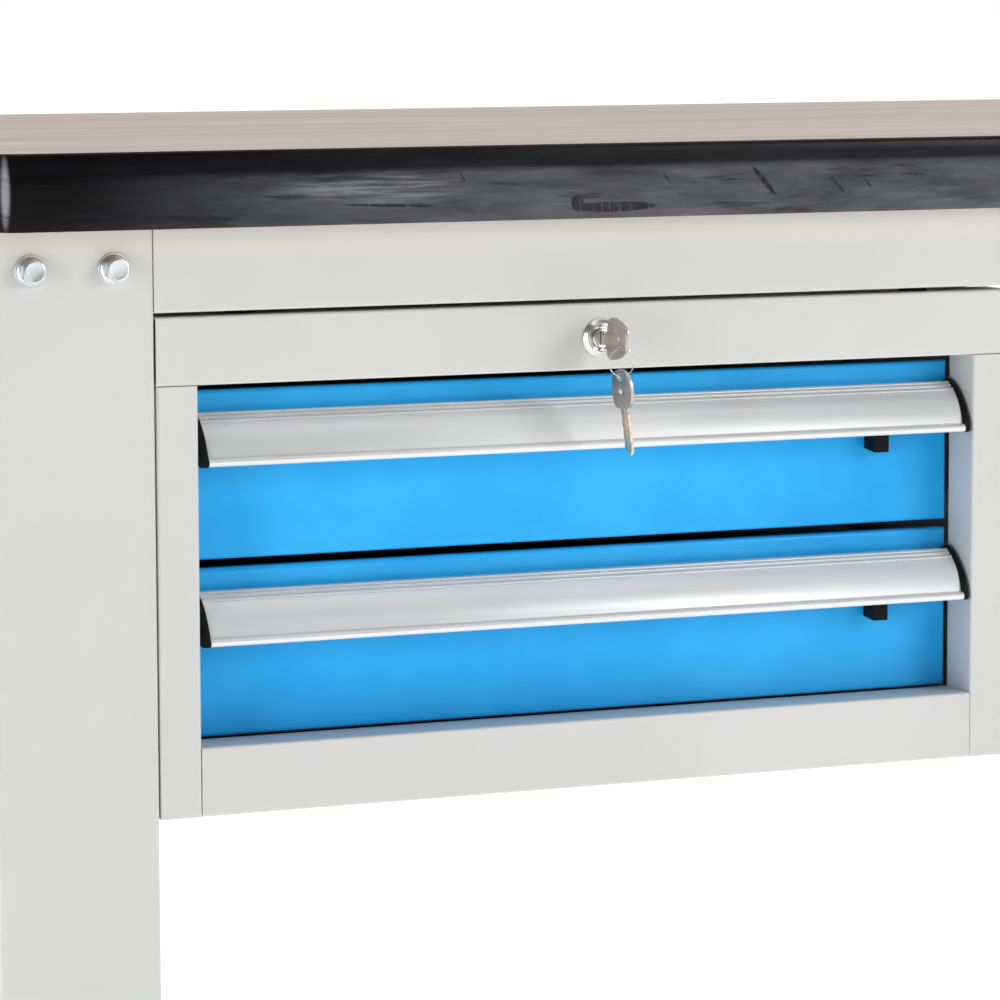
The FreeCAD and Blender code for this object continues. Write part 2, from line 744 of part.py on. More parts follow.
def cabinet_shell():
    """Side, back, top and bottom sheets, nested inside the front frame."""
    skin = "cabinet_sheet"
    left, right = f"({CAB_LEFT} + {skin})", f"({CAB_RIGHT} - {skin})"
    low, high = f"({CAB_LOW} + {skin})", f"({CAB_TOP} - {skin})"
    start = f"({FRONT} + shell_start)"
    stop = f"({FRONT} + cabinet_depth)"
    side_top = f"({CAB_TOP} - upper_rail_tall - frame_seam)"
    for label, x_low, x_high in (
        ("cabinet_left_side", left, f"{left} + panel_sheet"),
        ("cabinet_right_side", f"{right} - panel_sheet", right),
    ):
        body = new_body(label)
        profile = [
            (start, low),
            (stop, low),
            (stop, high),
            (f"{FRONT} + frame_reach + 1", high),
            (f"{FRONT} + frame_reach + 1", side_top),
            (start, side_top),
        ]
        extrude(body, "X", profile, x_low, x_high)
    inner_left, inner_right = f"({left} + panel_sheet)", f"({right} - panel_sheet)"
    back = new_body("cabinet_back")
    plate = rectangle(inner_left, f"{low} + panel_sheet", inner_right, f"{high} - panel_sheet")
    extrude(back, "Y", plate, f"{stop} - panel_sheet", stop)
    floor = new_body("cabinet_bottom")
    # the floor's front edge lies on the lower rail's flange, between the stiles
    floor_outline = [
        (f"{OPEN_LEFT} + 1", start),
        (f"{OPEN_RIGHT} - 1", start),
        (f"{OPEN_RIGHT} - 1", f"{FRONT} + frame_reach + 1"),
        (inner_right, f"{FRONT} + frame_reach + 1"),
        (inner_right, stop),
        (inner_left, stop),
        (inner_left, f"{FRONT} + frame_reach + 1"),
        (f"{OPEN_LEFT} + 1", f"{FRONT} + frame_reach + 1"),
    ]
    extrude(floor, "Z", floor_outline, low, f"{low} + panel_sheet")
    roof = new_body("cabinet_top")
    roof_outline = rectangle(inner_left, start, inner_right, stop)
    extrude(roof, "Z", roof_outline, f"{high} - panel_sheet", high)
    for bolt in cabinet_bolt_places():
        for y in (f"({FRONT} + beam_depth / 2)", f"({BACK} - beam_depth / 2)"):
            drill(roof, "Z", bolt, y, "bolt_hole", f"{high} - panel_sheet - 1", f"{high} + 1")


def cabinet_hangers():
    """Bolts that hang the cabinet from both beams, each with its spacer and nut."""
    hangers = []
    under_roof = f"({CAB_TOP} - cabinet_sheet - panel_sheet)"
    beam_inside = f"({UNDER} - beam_height + frame_sheet)"
    for x in cabinet_bolt_places():
        for y, spacer_low in (
            (f"({FRONT} + beam_depth / 2)", CAB_TOP),
            (f"({BACK} - beam_depth / 2)", f"({CAB_TOP} - cabinet_sheet)"),
        ):
            head = hexagon("Z", "bolt_across", "bolt_hex_height", x, y, f"{under_roof} - bolt_hex_height")
            shank = cylinder("Z", "bolt_round", f"{beam_inside} + 12 - {under_roof}", x, y, under_roof)
            spacer = cylinder("Z", "spacer_round", f"{UNDER} - beam_height - {spacer_low}", x, y, spacer_low)
            nut = hexagon("Z", "bolt_across", "nut_height", x, y, beam_inside)
            hangers.append(fused(head, shank, spacer, nut))
    group("cabinet_bolts", hangers)


# ---------------------------------------------------------------- drawers

def drawer_low(drawer):
    return f"({CAB_TOP} - first_drop - front_tall - {DRAWERS[drawer]} * front_pitch)"


PANEL = f"({FRONT} + recess)"
PANEL_REAR = f"({PANEL} + front_deep)"


def drawer_front(drawer):
    """Folded sheet front: a flat face with a narrow return on all sides, open at the rear."""
    body = new_body(f"{drawer}_drawer_front")
    low = drawer_low(drawer)
    high = f"({low} + front_tall)"
    left, right = f"({OPEN_LEFT} + side_gap)", f"({OPEN_RIGHT} - side_gap)"
    extrude(body, "Y", rectangle(left, low, right, high), PANEL, PANEL_REAR)
    round_edges(body, "front_round", [{"y": PANEL}])
    hollow = rectangle(
        f"{left} + panel_sheet", f"{low} + panel_sheet", f"{right} - panel_sheet", f"{high} - panel_sheet",
    )
    extrude(body, "Y", hollow, f"{PANEL} + panel_sheet", f"{PANEL_REAR} + 1", cut=True)
    x_low, z_middle = f"({CAB_RIGHT} - catch_from_edge)", catch_middle(drawer)
    slot = rectangle(
        f"{x_low} - catch_inset - catch_neck_wide - catch_travel - catch_play",
        f"{z_middle} - catch_neck_tall / 2 - catch_play",
        f"{x_low} - catch_inset + catch_play",
        f"{z_middle} + catch_neck_tall / 2 + catch_play",
    )
    extrude(body, "Y", slot, f"{PANEL} - 1", f"{PANEL} + panel_sheet + 1", cut=True)
    return body


def drawer_tray(drawer):
    """Folded tray with an open top, and a welded striker that the lock bar's hook meets."""
    tray = doc.addObject("PartDesign::Body", f"{drawer}_folded_tray")
    low = f"({drawer_low(drawer)} + tray_lift)"
    left, right = f"({OPEN_LEFT} + tray_gap)", f"({OPEN_RIGHT} - tray_gap)"
    start, stop = PANEL_REAR, f"({PANEL_REAR} + tray_long)"
    extrude(tray, "Z", rectangle(left, start, right, stop), low, f"{low} + tray_tall")
    inside = rectangle(
        f"{left} + tray_wall", f"{start} + tray_wall", f"{right} - tray_wall", f"{stop} - tray_wall",
    )
    extrude(tray, "Z", inside, f"{low} + tray_wall", f"{low} + tray_tall + 1", cut=True)
    striker_low = f"({drawer_low(drawer)} + striker_level)"
    striker_start = f"({PANEL_REAR} + striker_start)"
    striker = block(
        right, striker_start, striker_low,
        f"{right} + striker_long", f"{striker_start} + striker_thick", f"{striker_low} + striker_tall",
    )
    group(f"{drawer}_drawer_tray", [tray, striker])


def handle_top(drawer):
    return f"({drawer_low(drawer)} + front_tall - handle_drop)"


def out(distance):
    """Y of a point that stands out from the drawer front."""
    return f"({PANEL} - ({distance}))"


# (out from the drawer front, down from the grip's top, radius of the arc that arrives there)
GRIP_SECTION = [
    ("0", "2.2"),
    ("first_step - 4", "2.4"),
    ("first_step - 3.2", "1.5"),
    ("first_step - 1.6", "1.5"),
    ("first_step - 0.4", "2.7", "1.4"),
    ("first_step - 0.6", "2.9"),
    ("first_step + 1", "3.1"),
    ("first_step + 2.2", "4.3", "1.4"),
    ("first_step + 1.8", "4.7"),
    ("first_step + 1.9", "5.1"),
    ("second_step - 1.6", "5.2"),
    ("second_step", "6.4", "1.6"),
    ("second_step - 0.6", "6.7"),
    ("second_step - 0.5", "hood_drop - 0.1"),
    ("second_step + 0.4", "hood_drop"),
    ("grip_reach - 4.2", "grip_tall - 5.4", "hood_round"),
    ("grip_reach - 4.4", "grip_tall - 4.9"),
    ("grip_reach - 2.2", "grip_tall - 4.7"),
    ("grip_reach", "grip_tall - 2.8", "2.6"),
    ("grip_reach - 0.2", "grip_tall - 1"),
    ("grip_reach - 1.6", "grip_tall", "1.8"),
    ("grip_reach - 4.6", "grip_tall"),
    ("grip_reach - 6.2", "grip_tall - 1.2"),
    ("grip_reach - 6.2", "grip_tall - 5.6"),
    ("second_step - 2", "hood_drop + 2.3", "grip_wall - hood_round"),
    ("grip_wall + 6.4", "7.4"),
    ("grip_wall", "6.4"),
    ("grip_wall", "grip_seat"),
    ("0", "grip_seat"),
]
CAP_SECTION = [
    ("0", "2.2"),
    ("5.6", "-0.2"),
    ("grip_reach - 1.9", "grip_tall - 4.1", "cap_round"),
    ("grip_reach - 1.4", "grip_tall - 1.2", "9"),
    ("grip_reach - 3.4", "grip_tall + 0.6", "2.4"),
    ("grip_reach - 8.8", "grip_tall + 0.6"),
    ("0", "grip_seat + 3", "9 - cap_round"),
]


def across_grip(drawer, section):
    """The section's points in the plane across the grip."""
    top = handle_top(drawer)
    return [(out(reach), f"({top} - ({drop}))", *arc) for reach, drop, *arc in section]


def drawer_handle(drawer):
    """Extruded grip: a grooved top, a convex hood that opens downwards, and a bead along its lip."""
    body = new_body(f"{drawer}_drawer_handle")
    left = f"({OPEN_LEFT} + side_gap + cap_thick)"
    right = f"({OPEN_RIGHT} - side_gap - cap_thick)"
    extrude(body, "X", across_grip(drawer, GRIP_SECTION), left, right)
    return body


def handle_cap(drawer, side):
    """Plastic end cap that covers the grip's section and stands a little proud of it."""
    body = new_body(f"{drawer}_handle_{side}_cap")
    edge = f"({OPEN_LEFT} + side_gap)" if side == "left" else f"({OPEN_RIGHT} - side_gap - cap_thick)"
    extrude(body, "X", across_grip(drawer, CAP_SECTION), edge, f"{edge} + cap_thick")
    return body


def handle_screws(drawer):
    level = f"({handle_top(drawer)} - 12)"
    screws = []
    for part in ("0.08", "0.36", "0.64", "0.92"):
        x = f"({OPEN_LEFT} + ({OPEN_RIGHT} - {OPEN_LEFT}) * {part})"
        head = cone("Y", "3.6", "2.4", "2.2", x, f"({PANEL} + panel_sheet)", level)
        shank = cylinder("Y", "1.9", "panel_sheet + 2", x, f"({PANEL} - 2)", level)
        screws.append(fused(head, shank))
    group(f"{drawer}_handle_screws", screws)


def catch_middle(drawer):
    return f"({handle_top(drawer)} - catch_top - catch_neck_tall / 2 - 3)"


def drawer_catch(drawer):
    """Thumb catch under the grip; its neck slides in the drawer front's slot."""
    left = f"({CAB_RIGHT} - catch_from_edge - catch_wide)"
    right = f"({CAB_RIGHT} - catch_from_edge)"
    top = f"({handle_top(drawer)} - catch_top)"
    low = f"({top} - catch_tall)"
    body = new_body(f"{drawer}_catch")
    side_view = [
        (out("catch_play"), f"{low} + 1.6"),
        (out("catch_reach"), low),
        (out("catch_reach"), f"{top} - catch_bevel - 1"),
        (out("catch_reach - catch_bevel + 1"), top),
        (out("catch_play"), top),
    ]
    extrude(body, "X", side_view, left, right)
    middle = catch_middle(drawer)
    neck_left, neck_right = f"({right} - catch_inset - catch_neck_wide)", f"({right} - catch_inset)"
    half = "catch_neck_tall / 2"
    neck = rectangle(neck_left, f"{middle} - {half}", neck_right, f"{middle} + {half}")
    extrude(body, "Y", neck, out("catch_play"), f"({PANEL} + panel_sheet + catch_play + catch_keeper)")
    wide = rectangle(
        f"{neck_left} - 3", f"{middle} - {half} - 2", f"{neck_right} + 3", f"{middle} + {half} + 2",
    )
    keeper_start = f"({PANEL} + panel_sheet + catch_play)"
    extrude(body, "Y", wide, keeper_start, f"{keeper_start} + catch_keeper")
    return body


def slide_section(drawer, tall, lip, web, towards):
    """C section in (X, Z): a web and two lips."""
    middle = f"({drawer_low(drawer)} + slide_level)"
    half = f"{tall} / 2"

    def across(distance):
        return f"({web} + {towards} * ({distance}))"

    return [
        (web, f"{middle} - {half}"),
        (across(lip), f"{middle} - {half}"),
        (across(lip), f"{middle} - {half} + slide_sheet"),
        (across("slide_sheet"), f"{middle} - {half} + slide_sheet"),
        (across("slide_sheet"), f"{middle} + {half} - slide_sheet"),
        (across(lip), f"{middle} + {half} - slide_sheet"),
        (across(lip), f"{middle} + {half}"),
        (web, f"{middle} + {half}"),
    ]


def drawer_slides(drawer):
    """Two-member runners: the outer one stands off the cabinet's side, the inner one is on the tray."""
    middle = f"({drawer_low(drawer)} + slide_level)"
    start = f"({FRONT} + slide_start)"
    stop = f"({start} + slide_long)"
    outers, inners = [], []
    for side in ("left", "right"):
        mirrored = side == "right"
        web = f"({OPEN_RIGHT} - slide_gap)" if mirrored else f"({OPEN_LEFT} + slide_gap)"
        tray = f"({OPEN_RIGHT} - tray_gap)" if mirrored else f"({OPEN_LEFT} + tray_gap)"
        skin = (
            f"({CAB_RIGHT} - cabinet_sheet - panel_sheet)" if mirrored
            else f"({CAB_LEFT} + cabinet_sheet + panel_sheet)"
        )
        inwards = "-1" if mirrored else "1"
        outer = doc.addObject("PartDesign::Body", f"{drawer}_{side}_outer")
        outer_section = slide_section(drawer, "slide_tall", "slide_lip", web, inwards)
        extrude(outer, "Y", outer_section, start, stop)
        x_low, x_high = sorted((skin, f"({web} + {inwards} * slide_sheet / 2)"), key=number)
        half = "standoff_tall / 2"
        for near in (f"{start} + standoff_inset", f"{stop} - standoff_inset - standoff_long"):
            stand = rectangle(x_low, f"{middle} - {half}", x_high, f"{middle} + {half}")
            extrude(outer, "Y", stand, near, f"({near}) + standoff_long")
        outers.append(outer)
        inner = doc.addObject("PartDesign::Body", f"{drawer}_{side}_inner")
        outwards = "1" if mirrored else "-1"
        inner_section = slide_section(drawer, "slide_inner_tall", "slide_inner_lip", tray, outwards)
        extrude(inner, "Y", inner_section, start, stop)
        inners.append(inner)
    group(f"{drawer}_slide_outer", outers)
    group(f"{drawer}_slide_inner", inners)


# ---------------------------------------------------------------- lock and keys

def lock_case():
    bore = "(plug_round + plug_play)"
    bezel = cone("Y", "bezel_face", "bezel_round", "bezel_high", LOCK_X, f"({FRONT} - bezel_high)", LOCK_Z)
    barrel = cylinder("Y", "lock_round", "lock_long", LOCK_X, FRONT, LOCK_Z)
    hole = cylinder("Y", bore, "lock_long + bezel_high + 2", LOCK_X, f"({FRONT} - bezel_high - 1)", LOCK_Z)
    handed_in(minus(fused(bezel, barrel), hole), "lock_body")
    behind = f"({FRONT} + cabinet_sheet)"
    nut = hexagon("Y", "nut_across", "nut_thick", LOCK_X, behind, LOCK_Z)
    nut_bore = cylinder("Y", "lock_round + 0.1", "nut_thick", LOCK_X, behind, LOCK_Z)
    handed_in(minus(nut, nut_bore), "lock_nut")


def lock_plug():
    start = f"({FRONT} - bezel_high - plug_proud)"
    rod = cylinder("Y", "plug_round", "plug_end + bezel_high + plug_proud", LOCK_X, start, LOCK_Z)
    wide, tall = "(key_thick / 2 + key_slot_play)", "(key_blade_tall / 2 + key_slot_play)"
    keyway = block(
        f"{LOCK_X} - {wide}", f"{start} - 1", f"{LOCK_Z} - {tall}",
        f"{LOCK_X} + {wide}", f"{FRONT} + 24", f"{LOCK_Z} + {tall}",
    )
    handed_in(minus(rod, keyway), "lock_plug")
    plate_start = f"({FRONT} + plug_end)"
    cam = block(
        f"{LOCK_X} - 5", plate_start, f"{LOCK_Z} - cam_pin_drop - 4",
        f"{LOCK_X} + 5", f"{plate_start} + cam_thick", f"{LOCK_Z} + 6",
    )
    pin_long = "bar_start + bar_thick + 0.8 - plug_end"
    pin = cylinder("Y", "cam_pin_round", pin_long, LOCK_X, plate_start, f"({LOCK_Z} - cam_pin_drop)")
    handed_in(fused(cam, pin), "lock_cam")


def lock_bar():
    """Flat bar behind the front frame: it runs to the right side and down, with a hook at each drawer."""
    body = new_body("lock_bar")
    hook_tip = f"({OPEN_RIGHT} + 0.5)"
    leg_left = f"({OPEN_RIGHT} + bar_hook - 4)"
    leg_right = f"({CAB_RIGHT} - cabinet_sheet - panel_sheet - 1)"
    top, low = f"({LOCK_Z} + bar_top)", f"({LOCK_Z} + bar_top - bar_tall)"
    hooks = {name: f"({drawer_low(name)} + striker_level + striker_tall / 2)" for name in DRAWERS}
    outline = [
        (f"{LOCK_X} - bar_end", top),
        (f"{LOCK_X} - bar_end", low),
        (leg_left, low),
        (leg_left, f"{hooks['upper']} + hook_half"),
        (hook_tip, f"{hooks['upper']} + hook_half"),
        (hook_tip, f"{hooks['upper']} - hook_half"),
        (leg_left, f"{hooks['upper']} - hook_half"),
        (leg_left, f"{hooks['lower']} + hook_half"),
        (hook_tip, f"{hooks['lower']} + hook_half"),
        (hook_tip, f"{hooks['lower']} - hook_half"),
        (leg_right, f"{hooks['lower']} - hook_half"),
        (leg_right, top),
    ]
    start = f"({FRONT} + bar_start)"
    extrude(body, "Y", outline, start, f"{start} + bar_thick")
    # the cam's pin rides in this upright slot
    half = "(cam_pin_round + 2.2)"
    slot = rectangle(
        f"{LOCK_X} - {half}", f"{LOCK_Z} - cam_pin_drop - cam_pin_round - 1",
        f"{LOCK_X} + {half}", f"{LOCK_Z} + cam_pin_round + 1",
    )
    extrude(body, "Y", slot, f"{start} - 1", f"{start} + bar_thick + 1", cut=True)
    return body


def key_in_lock():
    """Key whose flat bow stands upright in front of the lock."""
    bow_y = f"({FRONT} - key_bow_out)"
    bow_z = f"({LOCK_Z} + key_bow_lift)"
    half = "key_thick / 2"
    left = f"({LOCK_X} - {half})"
    bow = cylinder("X", "key_bow_round", "key_thick", left, bow_y, bow_z)
    neck = block(
        left, f"{FRONT} - key_bow_out + 4", f"{LOCK_Z} - key_neck_tall / 2",
        f"{LOCK_X} + {half}", f"{FRONT} - bezel_high - plug_proud", f"{LOCK_Z} + key_neck_tall / 2",
    )
    blade = block(
        left, f"{FRONT} - bezel_high - plug_proud - 1", f"{LOCK_Z} - key_blade_tall / 2",
        f"{LOCK_X} + {half}", f"{FRONT} + 22", f"{LOCK_Z} + key_blade_tall / 2",
    )
    eye_y, eye_z = f"({bow_y} - 1.6)", f"({bow_z} - 1)"
    eye = cylinder("X", "key_eye_round", "key_thick + 2", f"{left} - 1", eye_y, eye_z)
    handed_in(minus(fused(bow, neck, blade), eye), "key_in_lock")


def key_ring():
    ring = doc.addObject("Part::Torus", "Ring")
    ring.setExpression("Radius1", bound("ring_round"))
    ring.setExpression("Radius2", bound("ring_wire"))
    ring.Placement.Rotation = TURNS["Y"]
    place(ring, LOCK_X, f"({FRONT} - ring_out)", f"({LOCK_Z} - ring_drop - ring_round)")
    handed_in(ring, "key_ring")


def hanging_key():
    """Second key, built round its eye with the bow and blade below, then set on the ring."""
    half = "(key_thick / 2)"
    bow_z = "(-(spare_bow_round - spare_eye_rim - spare_eye_round))"
    tip_z = "(-(spare_long - spare_eye_rim - spare_eye_round))"
    bow = cylinder("X", "spare_bow_round", "key_thick", f"-{half}", "0", bow_z)
    flat = block(
        f"-{half}", "-spare_blade_wide / 2", f"{tip_z} + 3",
        half, "spare_blade_wide / 2", bow_z,
    )
    tip = block(f"-{half}", "-spare_blade_wide / 2 + 2", tip_z, half, "spare_blade_wide / 2", f"{tip_z} + 4")
    eye = cylinder("X", "spare_eye_round", "key_thick + 2", f"-{half} - 1", "0", "0")
    centre = cylinder("X", "spare_hole_round", "key_thick + 2", f"-{half} - 1", "0", f"{bow_z} - 1")
    groove = block(
        f"{half} - 0.5", "-0.8", f"{tip_z} + 3",
        f"{half} + 1", "1.6", f"{bow_z} - spare_bow_round - 1",
    )
    key = minus(fused(bow, flat, tip), eye, centre, groove)
    lean = Rotation(Vector(0, 1, 0), -number("spare_lean"))
    turn = Rotation(Vector(0, 0, 1), number("spare_turn"))
    key.Placement.Rotation = lean.multiply(turn)
    rest = f"({LOCK_Z} - ring_drop - 2 * ring_round - (spare_eye_round - ring_wire - 0.4))"
    place(key, LOCK_X, f"({FRONT} - ring_out)", rest)
    handed_in(key, "hanging_key")


# ---------------------------------------------------------------- assembly

def build():
    for side in SIDES:
        for end in ENDS:
            leg_post(side, end)
            levelling_foot(side, end)
        side_rail(side, UNDER, "top")
        side_rail(side, "low_rail_level", "bottom")
    for end in ENDS:
        cross_beam(end)
    lower_stringer()
    frame_fasteners()
    worktop()
    cabinet_front()
    cabinet_shell()
    cabinet_hangers()
    for drawer in DRAWERS:
        drawer_front(drawer)
        drawer_tray(drawer)
        drawer_handle(drawer)
        for side in SIDES:
            handle_cap(drawer, side)
        handle_screws(drawer)
        drawer_catch(drawer)
        drawer_slides(drawer)
    lock_case()
    lock_plug()
    lock_bar()
    key_in_lock()
    key_ring()
    hanging_key()


def check_and_write():
    doc.recompute()
    for thing in doc.Objects:
        if {"Invalid", "Error"} & set(thing.State):
            raise RuntimeError(f"{thing.Label} failed: {thing.State}")
    os.makedirs("parts", exist_ok=True)
    for thing in exported:
        shape = thing.Shape
        if shape.isNull() or not shape.isValid() or not shape.Volume > 0:
            raise RuntimeError(f"{thing.Label} has no valid solid")
        shape.exportStep(f"parts/{thing.Label}.step")
        print(f"{thing.Label:28s} solids {len(shape.Solids)}  {shape.Volume / 1000:10.3f} cm3")
    print(len(exported), "sub-parts")


build()
check_and_write()
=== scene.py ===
"""Looks of the workbench: studio, materials, and the pieces that stand for plain CAD solids."""
import json
import math

import bmesh
import bpy
from mathutils import Matrix, Vector


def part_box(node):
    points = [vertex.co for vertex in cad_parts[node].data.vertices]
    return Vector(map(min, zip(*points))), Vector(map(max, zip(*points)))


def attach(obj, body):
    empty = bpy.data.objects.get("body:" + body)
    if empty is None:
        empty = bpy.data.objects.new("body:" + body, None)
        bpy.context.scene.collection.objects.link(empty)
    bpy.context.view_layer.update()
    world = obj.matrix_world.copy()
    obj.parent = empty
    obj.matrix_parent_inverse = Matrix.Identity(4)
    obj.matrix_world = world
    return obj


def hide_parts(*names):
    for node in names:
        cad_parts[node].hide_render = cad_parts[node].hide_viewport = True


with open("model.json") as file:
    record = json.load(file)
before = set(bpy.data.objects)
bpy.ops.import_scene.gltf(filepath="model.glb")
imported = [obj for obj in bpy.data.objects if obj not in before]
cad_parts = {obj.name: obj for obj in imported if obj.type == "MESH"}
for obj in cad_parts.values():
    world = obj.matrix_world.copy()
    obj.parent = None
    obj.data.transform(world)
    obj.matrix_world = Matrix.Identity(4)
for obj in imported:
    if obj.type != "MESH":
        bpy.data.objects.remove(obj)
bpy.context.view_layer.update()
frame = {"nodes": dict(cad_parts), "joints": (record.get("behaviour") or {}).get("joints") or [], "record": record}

MM = 0.001
NODES = frame["nodes"]
JOINTS = {joint["name"]: joint for joint in frame["joints"]}
NODE_SLOT = {part["node"]: part["material_slot"] for part in frame["record"]["subparts"]}


# ---------------------------------------------------------------- camera, light and floor

LENS = 163.27
SENSOR = 36.0
YAW = math.radians(23.0)
PITCH = math.radians(6.59)
ROLL = math.radians(-0.18)
# camera from the cabinet's left front lower corner of the frame, level with the worktop's underside
CAMERA_OFFSET = Vector((-0.86539, -2.56281, 0.14808))


def make_camera():
    stile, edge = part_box("left_stile")[0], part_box("worktop_edge")[0]
    spot = Vector((stile.x, stile.y, edge.z)) + CAMERA_OFFSET
    ahead = Vector((math.sin(YAW) * math.cos(PITCH), math.cos(YAW) * math.cos(PITCH), -math.sin(PITCH)))
    right = Vector((math.cos(YAW), -math.sin(YAW), 0.0))
    up = right.cross(ahead)
    tilted_right = right * math.cos(ROLL) + up * math.sin(ROLL)
    tilted_up = up * math.cos(ROLL) - right * math.sin(ROLL)
    turn = Matrix((tilted_right, tilted_up, -ahead)).transposed()
    data = bpy.data.cameras.new("camera")
    data.lens, data.sensor_width = LENS, SENSOR
    data.clip_start, data.clip_end = 0.05, 500.0
    camera = bpy.data.objects.new("camera", data)
    camera.matrix_world = Matrix.Translation(spot) @ turn.to_4x4()
    bpy.context.scene.collection.objects.link(camera)
    bpy.context.scene.camera = camera


def area_light(name, spot, aim, size, power):
    data = bpy.data.lights.new(name, "AREA")
    data.shape, data.size, data.size_y = "RECTANGLE", size[0], size[1]
    data.energy = power
    light = bpy.data.objects.new(name, data)
    light.location = spot
    light.rotation_euler = (Vector(aim) - Vector(spot)).to_track_quat("-Z", "Y").to_euler()
    light.visible_camera = False
    bpy.context.scene.collection.objects.link(light)


SKY_BRIGHT = 1.0
DARK_SIDE = 0.08
DARK_UP_TO, BRIGHT_FROM = 0.18, 0.66      # places along Y, with 0 in front of the bench and 1 behind it


def make_world():
    """A white room that is dimmer behind the viewer, so that bare metal has something to mirror."""
    world = bpy.data.worlds.new("studio")
    world.use_nodes = True
    bpy.context.scene.world = world
    nodes, links = world.node_tree.nodes, world.node_tree.links
    where = nodes.new("ShaderNodeTexCoord").outputs["Generated"]
    apart = nodes.new("ShaderNodeSeparateXYZ")
    links.new(where, apart.inputs[0])
    ramp = nodes.new("ShaderNodeValToRGB")
    ramp.color_ramp.interpolation = "EASE"
    stops = ((DARK_UP_TO, DARK_SIDE), (BRIGHT_FROM, SKY_BRIGHT))
    for element, (place, tone) in zip(ramp.color_ramp.elements, stops):
        element.position, element.color = place, (tone, tone, tone, 1)
    reach = nodes.new("ShaderNodeMapRange")
    reach.inputs["From Min"].default_value = -1.0
    reach.inputs["From Max"].default_value = 1.0
    links.new(apart.outputs["Y"], reach.inputs["Value"])
    links.new(reach.outputs["Result"], ramp.inputs["Fac"])
    links.new(ramp.outputs["Color"], nodes["Background"].inputs["Color"])
    nodes["Background"].inputs["Strength"].default_value = 1.0


FLOOR_HALF = 90.0
FLOOR_GLOW = 0.5        # a lit sweep: the floor stays white as far as the horizon


def make_floor():
    mesh = bpy.data.meshes.new("floor")
    corners = [(x * FLOOR_HALF, y * FLOOR_HALF, 0.0) for x, y in ((-1, -1), (1, -1), (1, 1), (-1, 1))]
    mesh.from_pydata(corners, [], [(0, 1, 2, 3)])
    floor = bpy.data.objects.new("floor", mesh)
    bpy.context.scene.collection.objects.link(floor)
    paint = Paint("studio_floor")
    cloud = paint.noise(0.8, detail=3)
    paint.colour(paint.ramp(cloud, [(0.3, (0.93, 0.93, 0.93)), (0.7, (0.96, 0.96, 0.96))]))
    paint.set("Roughness", 0.8)
    paint.set("Specular IOR Level", 0.1)
    paint.set("Emission Color", (1.0, 1.0, 1.0))
    paint.set("Emission Strength", FLOOR_GLOW)
    mesh.materials.append(paint.material)


def make_studio():
    scene = bpy.context.scene
    scene.view_settings.view_transform = "Standard"
    scene.view_settings.look = "None"
    make_world()
    area_light("front_right_softbox", (2.9, -3.9, 2.1), (-0.2, 0.0, 0.65), (2.0, 1.6), 83.0)
    area_light("overhead_softbox", (0.4, -0.9, 4.2), (0.0, 0.0, 0.8), (4.0, 3.0), 42.0)
    area_light("left_strip", (-3.7, -2.0, 0.9), (-0.74, -0.36, 0.8), (0.7, 1.8), 25.0)
    make_floor()


# ---------------------------------------------------------------- material nodes

STROKE_DEPTH = 0.03         # how far a painted stroke reaches along Y
MIX_FIRST, MIX_SECOND, MIX_RESULT = 6, 7, 2      # the colour sockets of a mix node


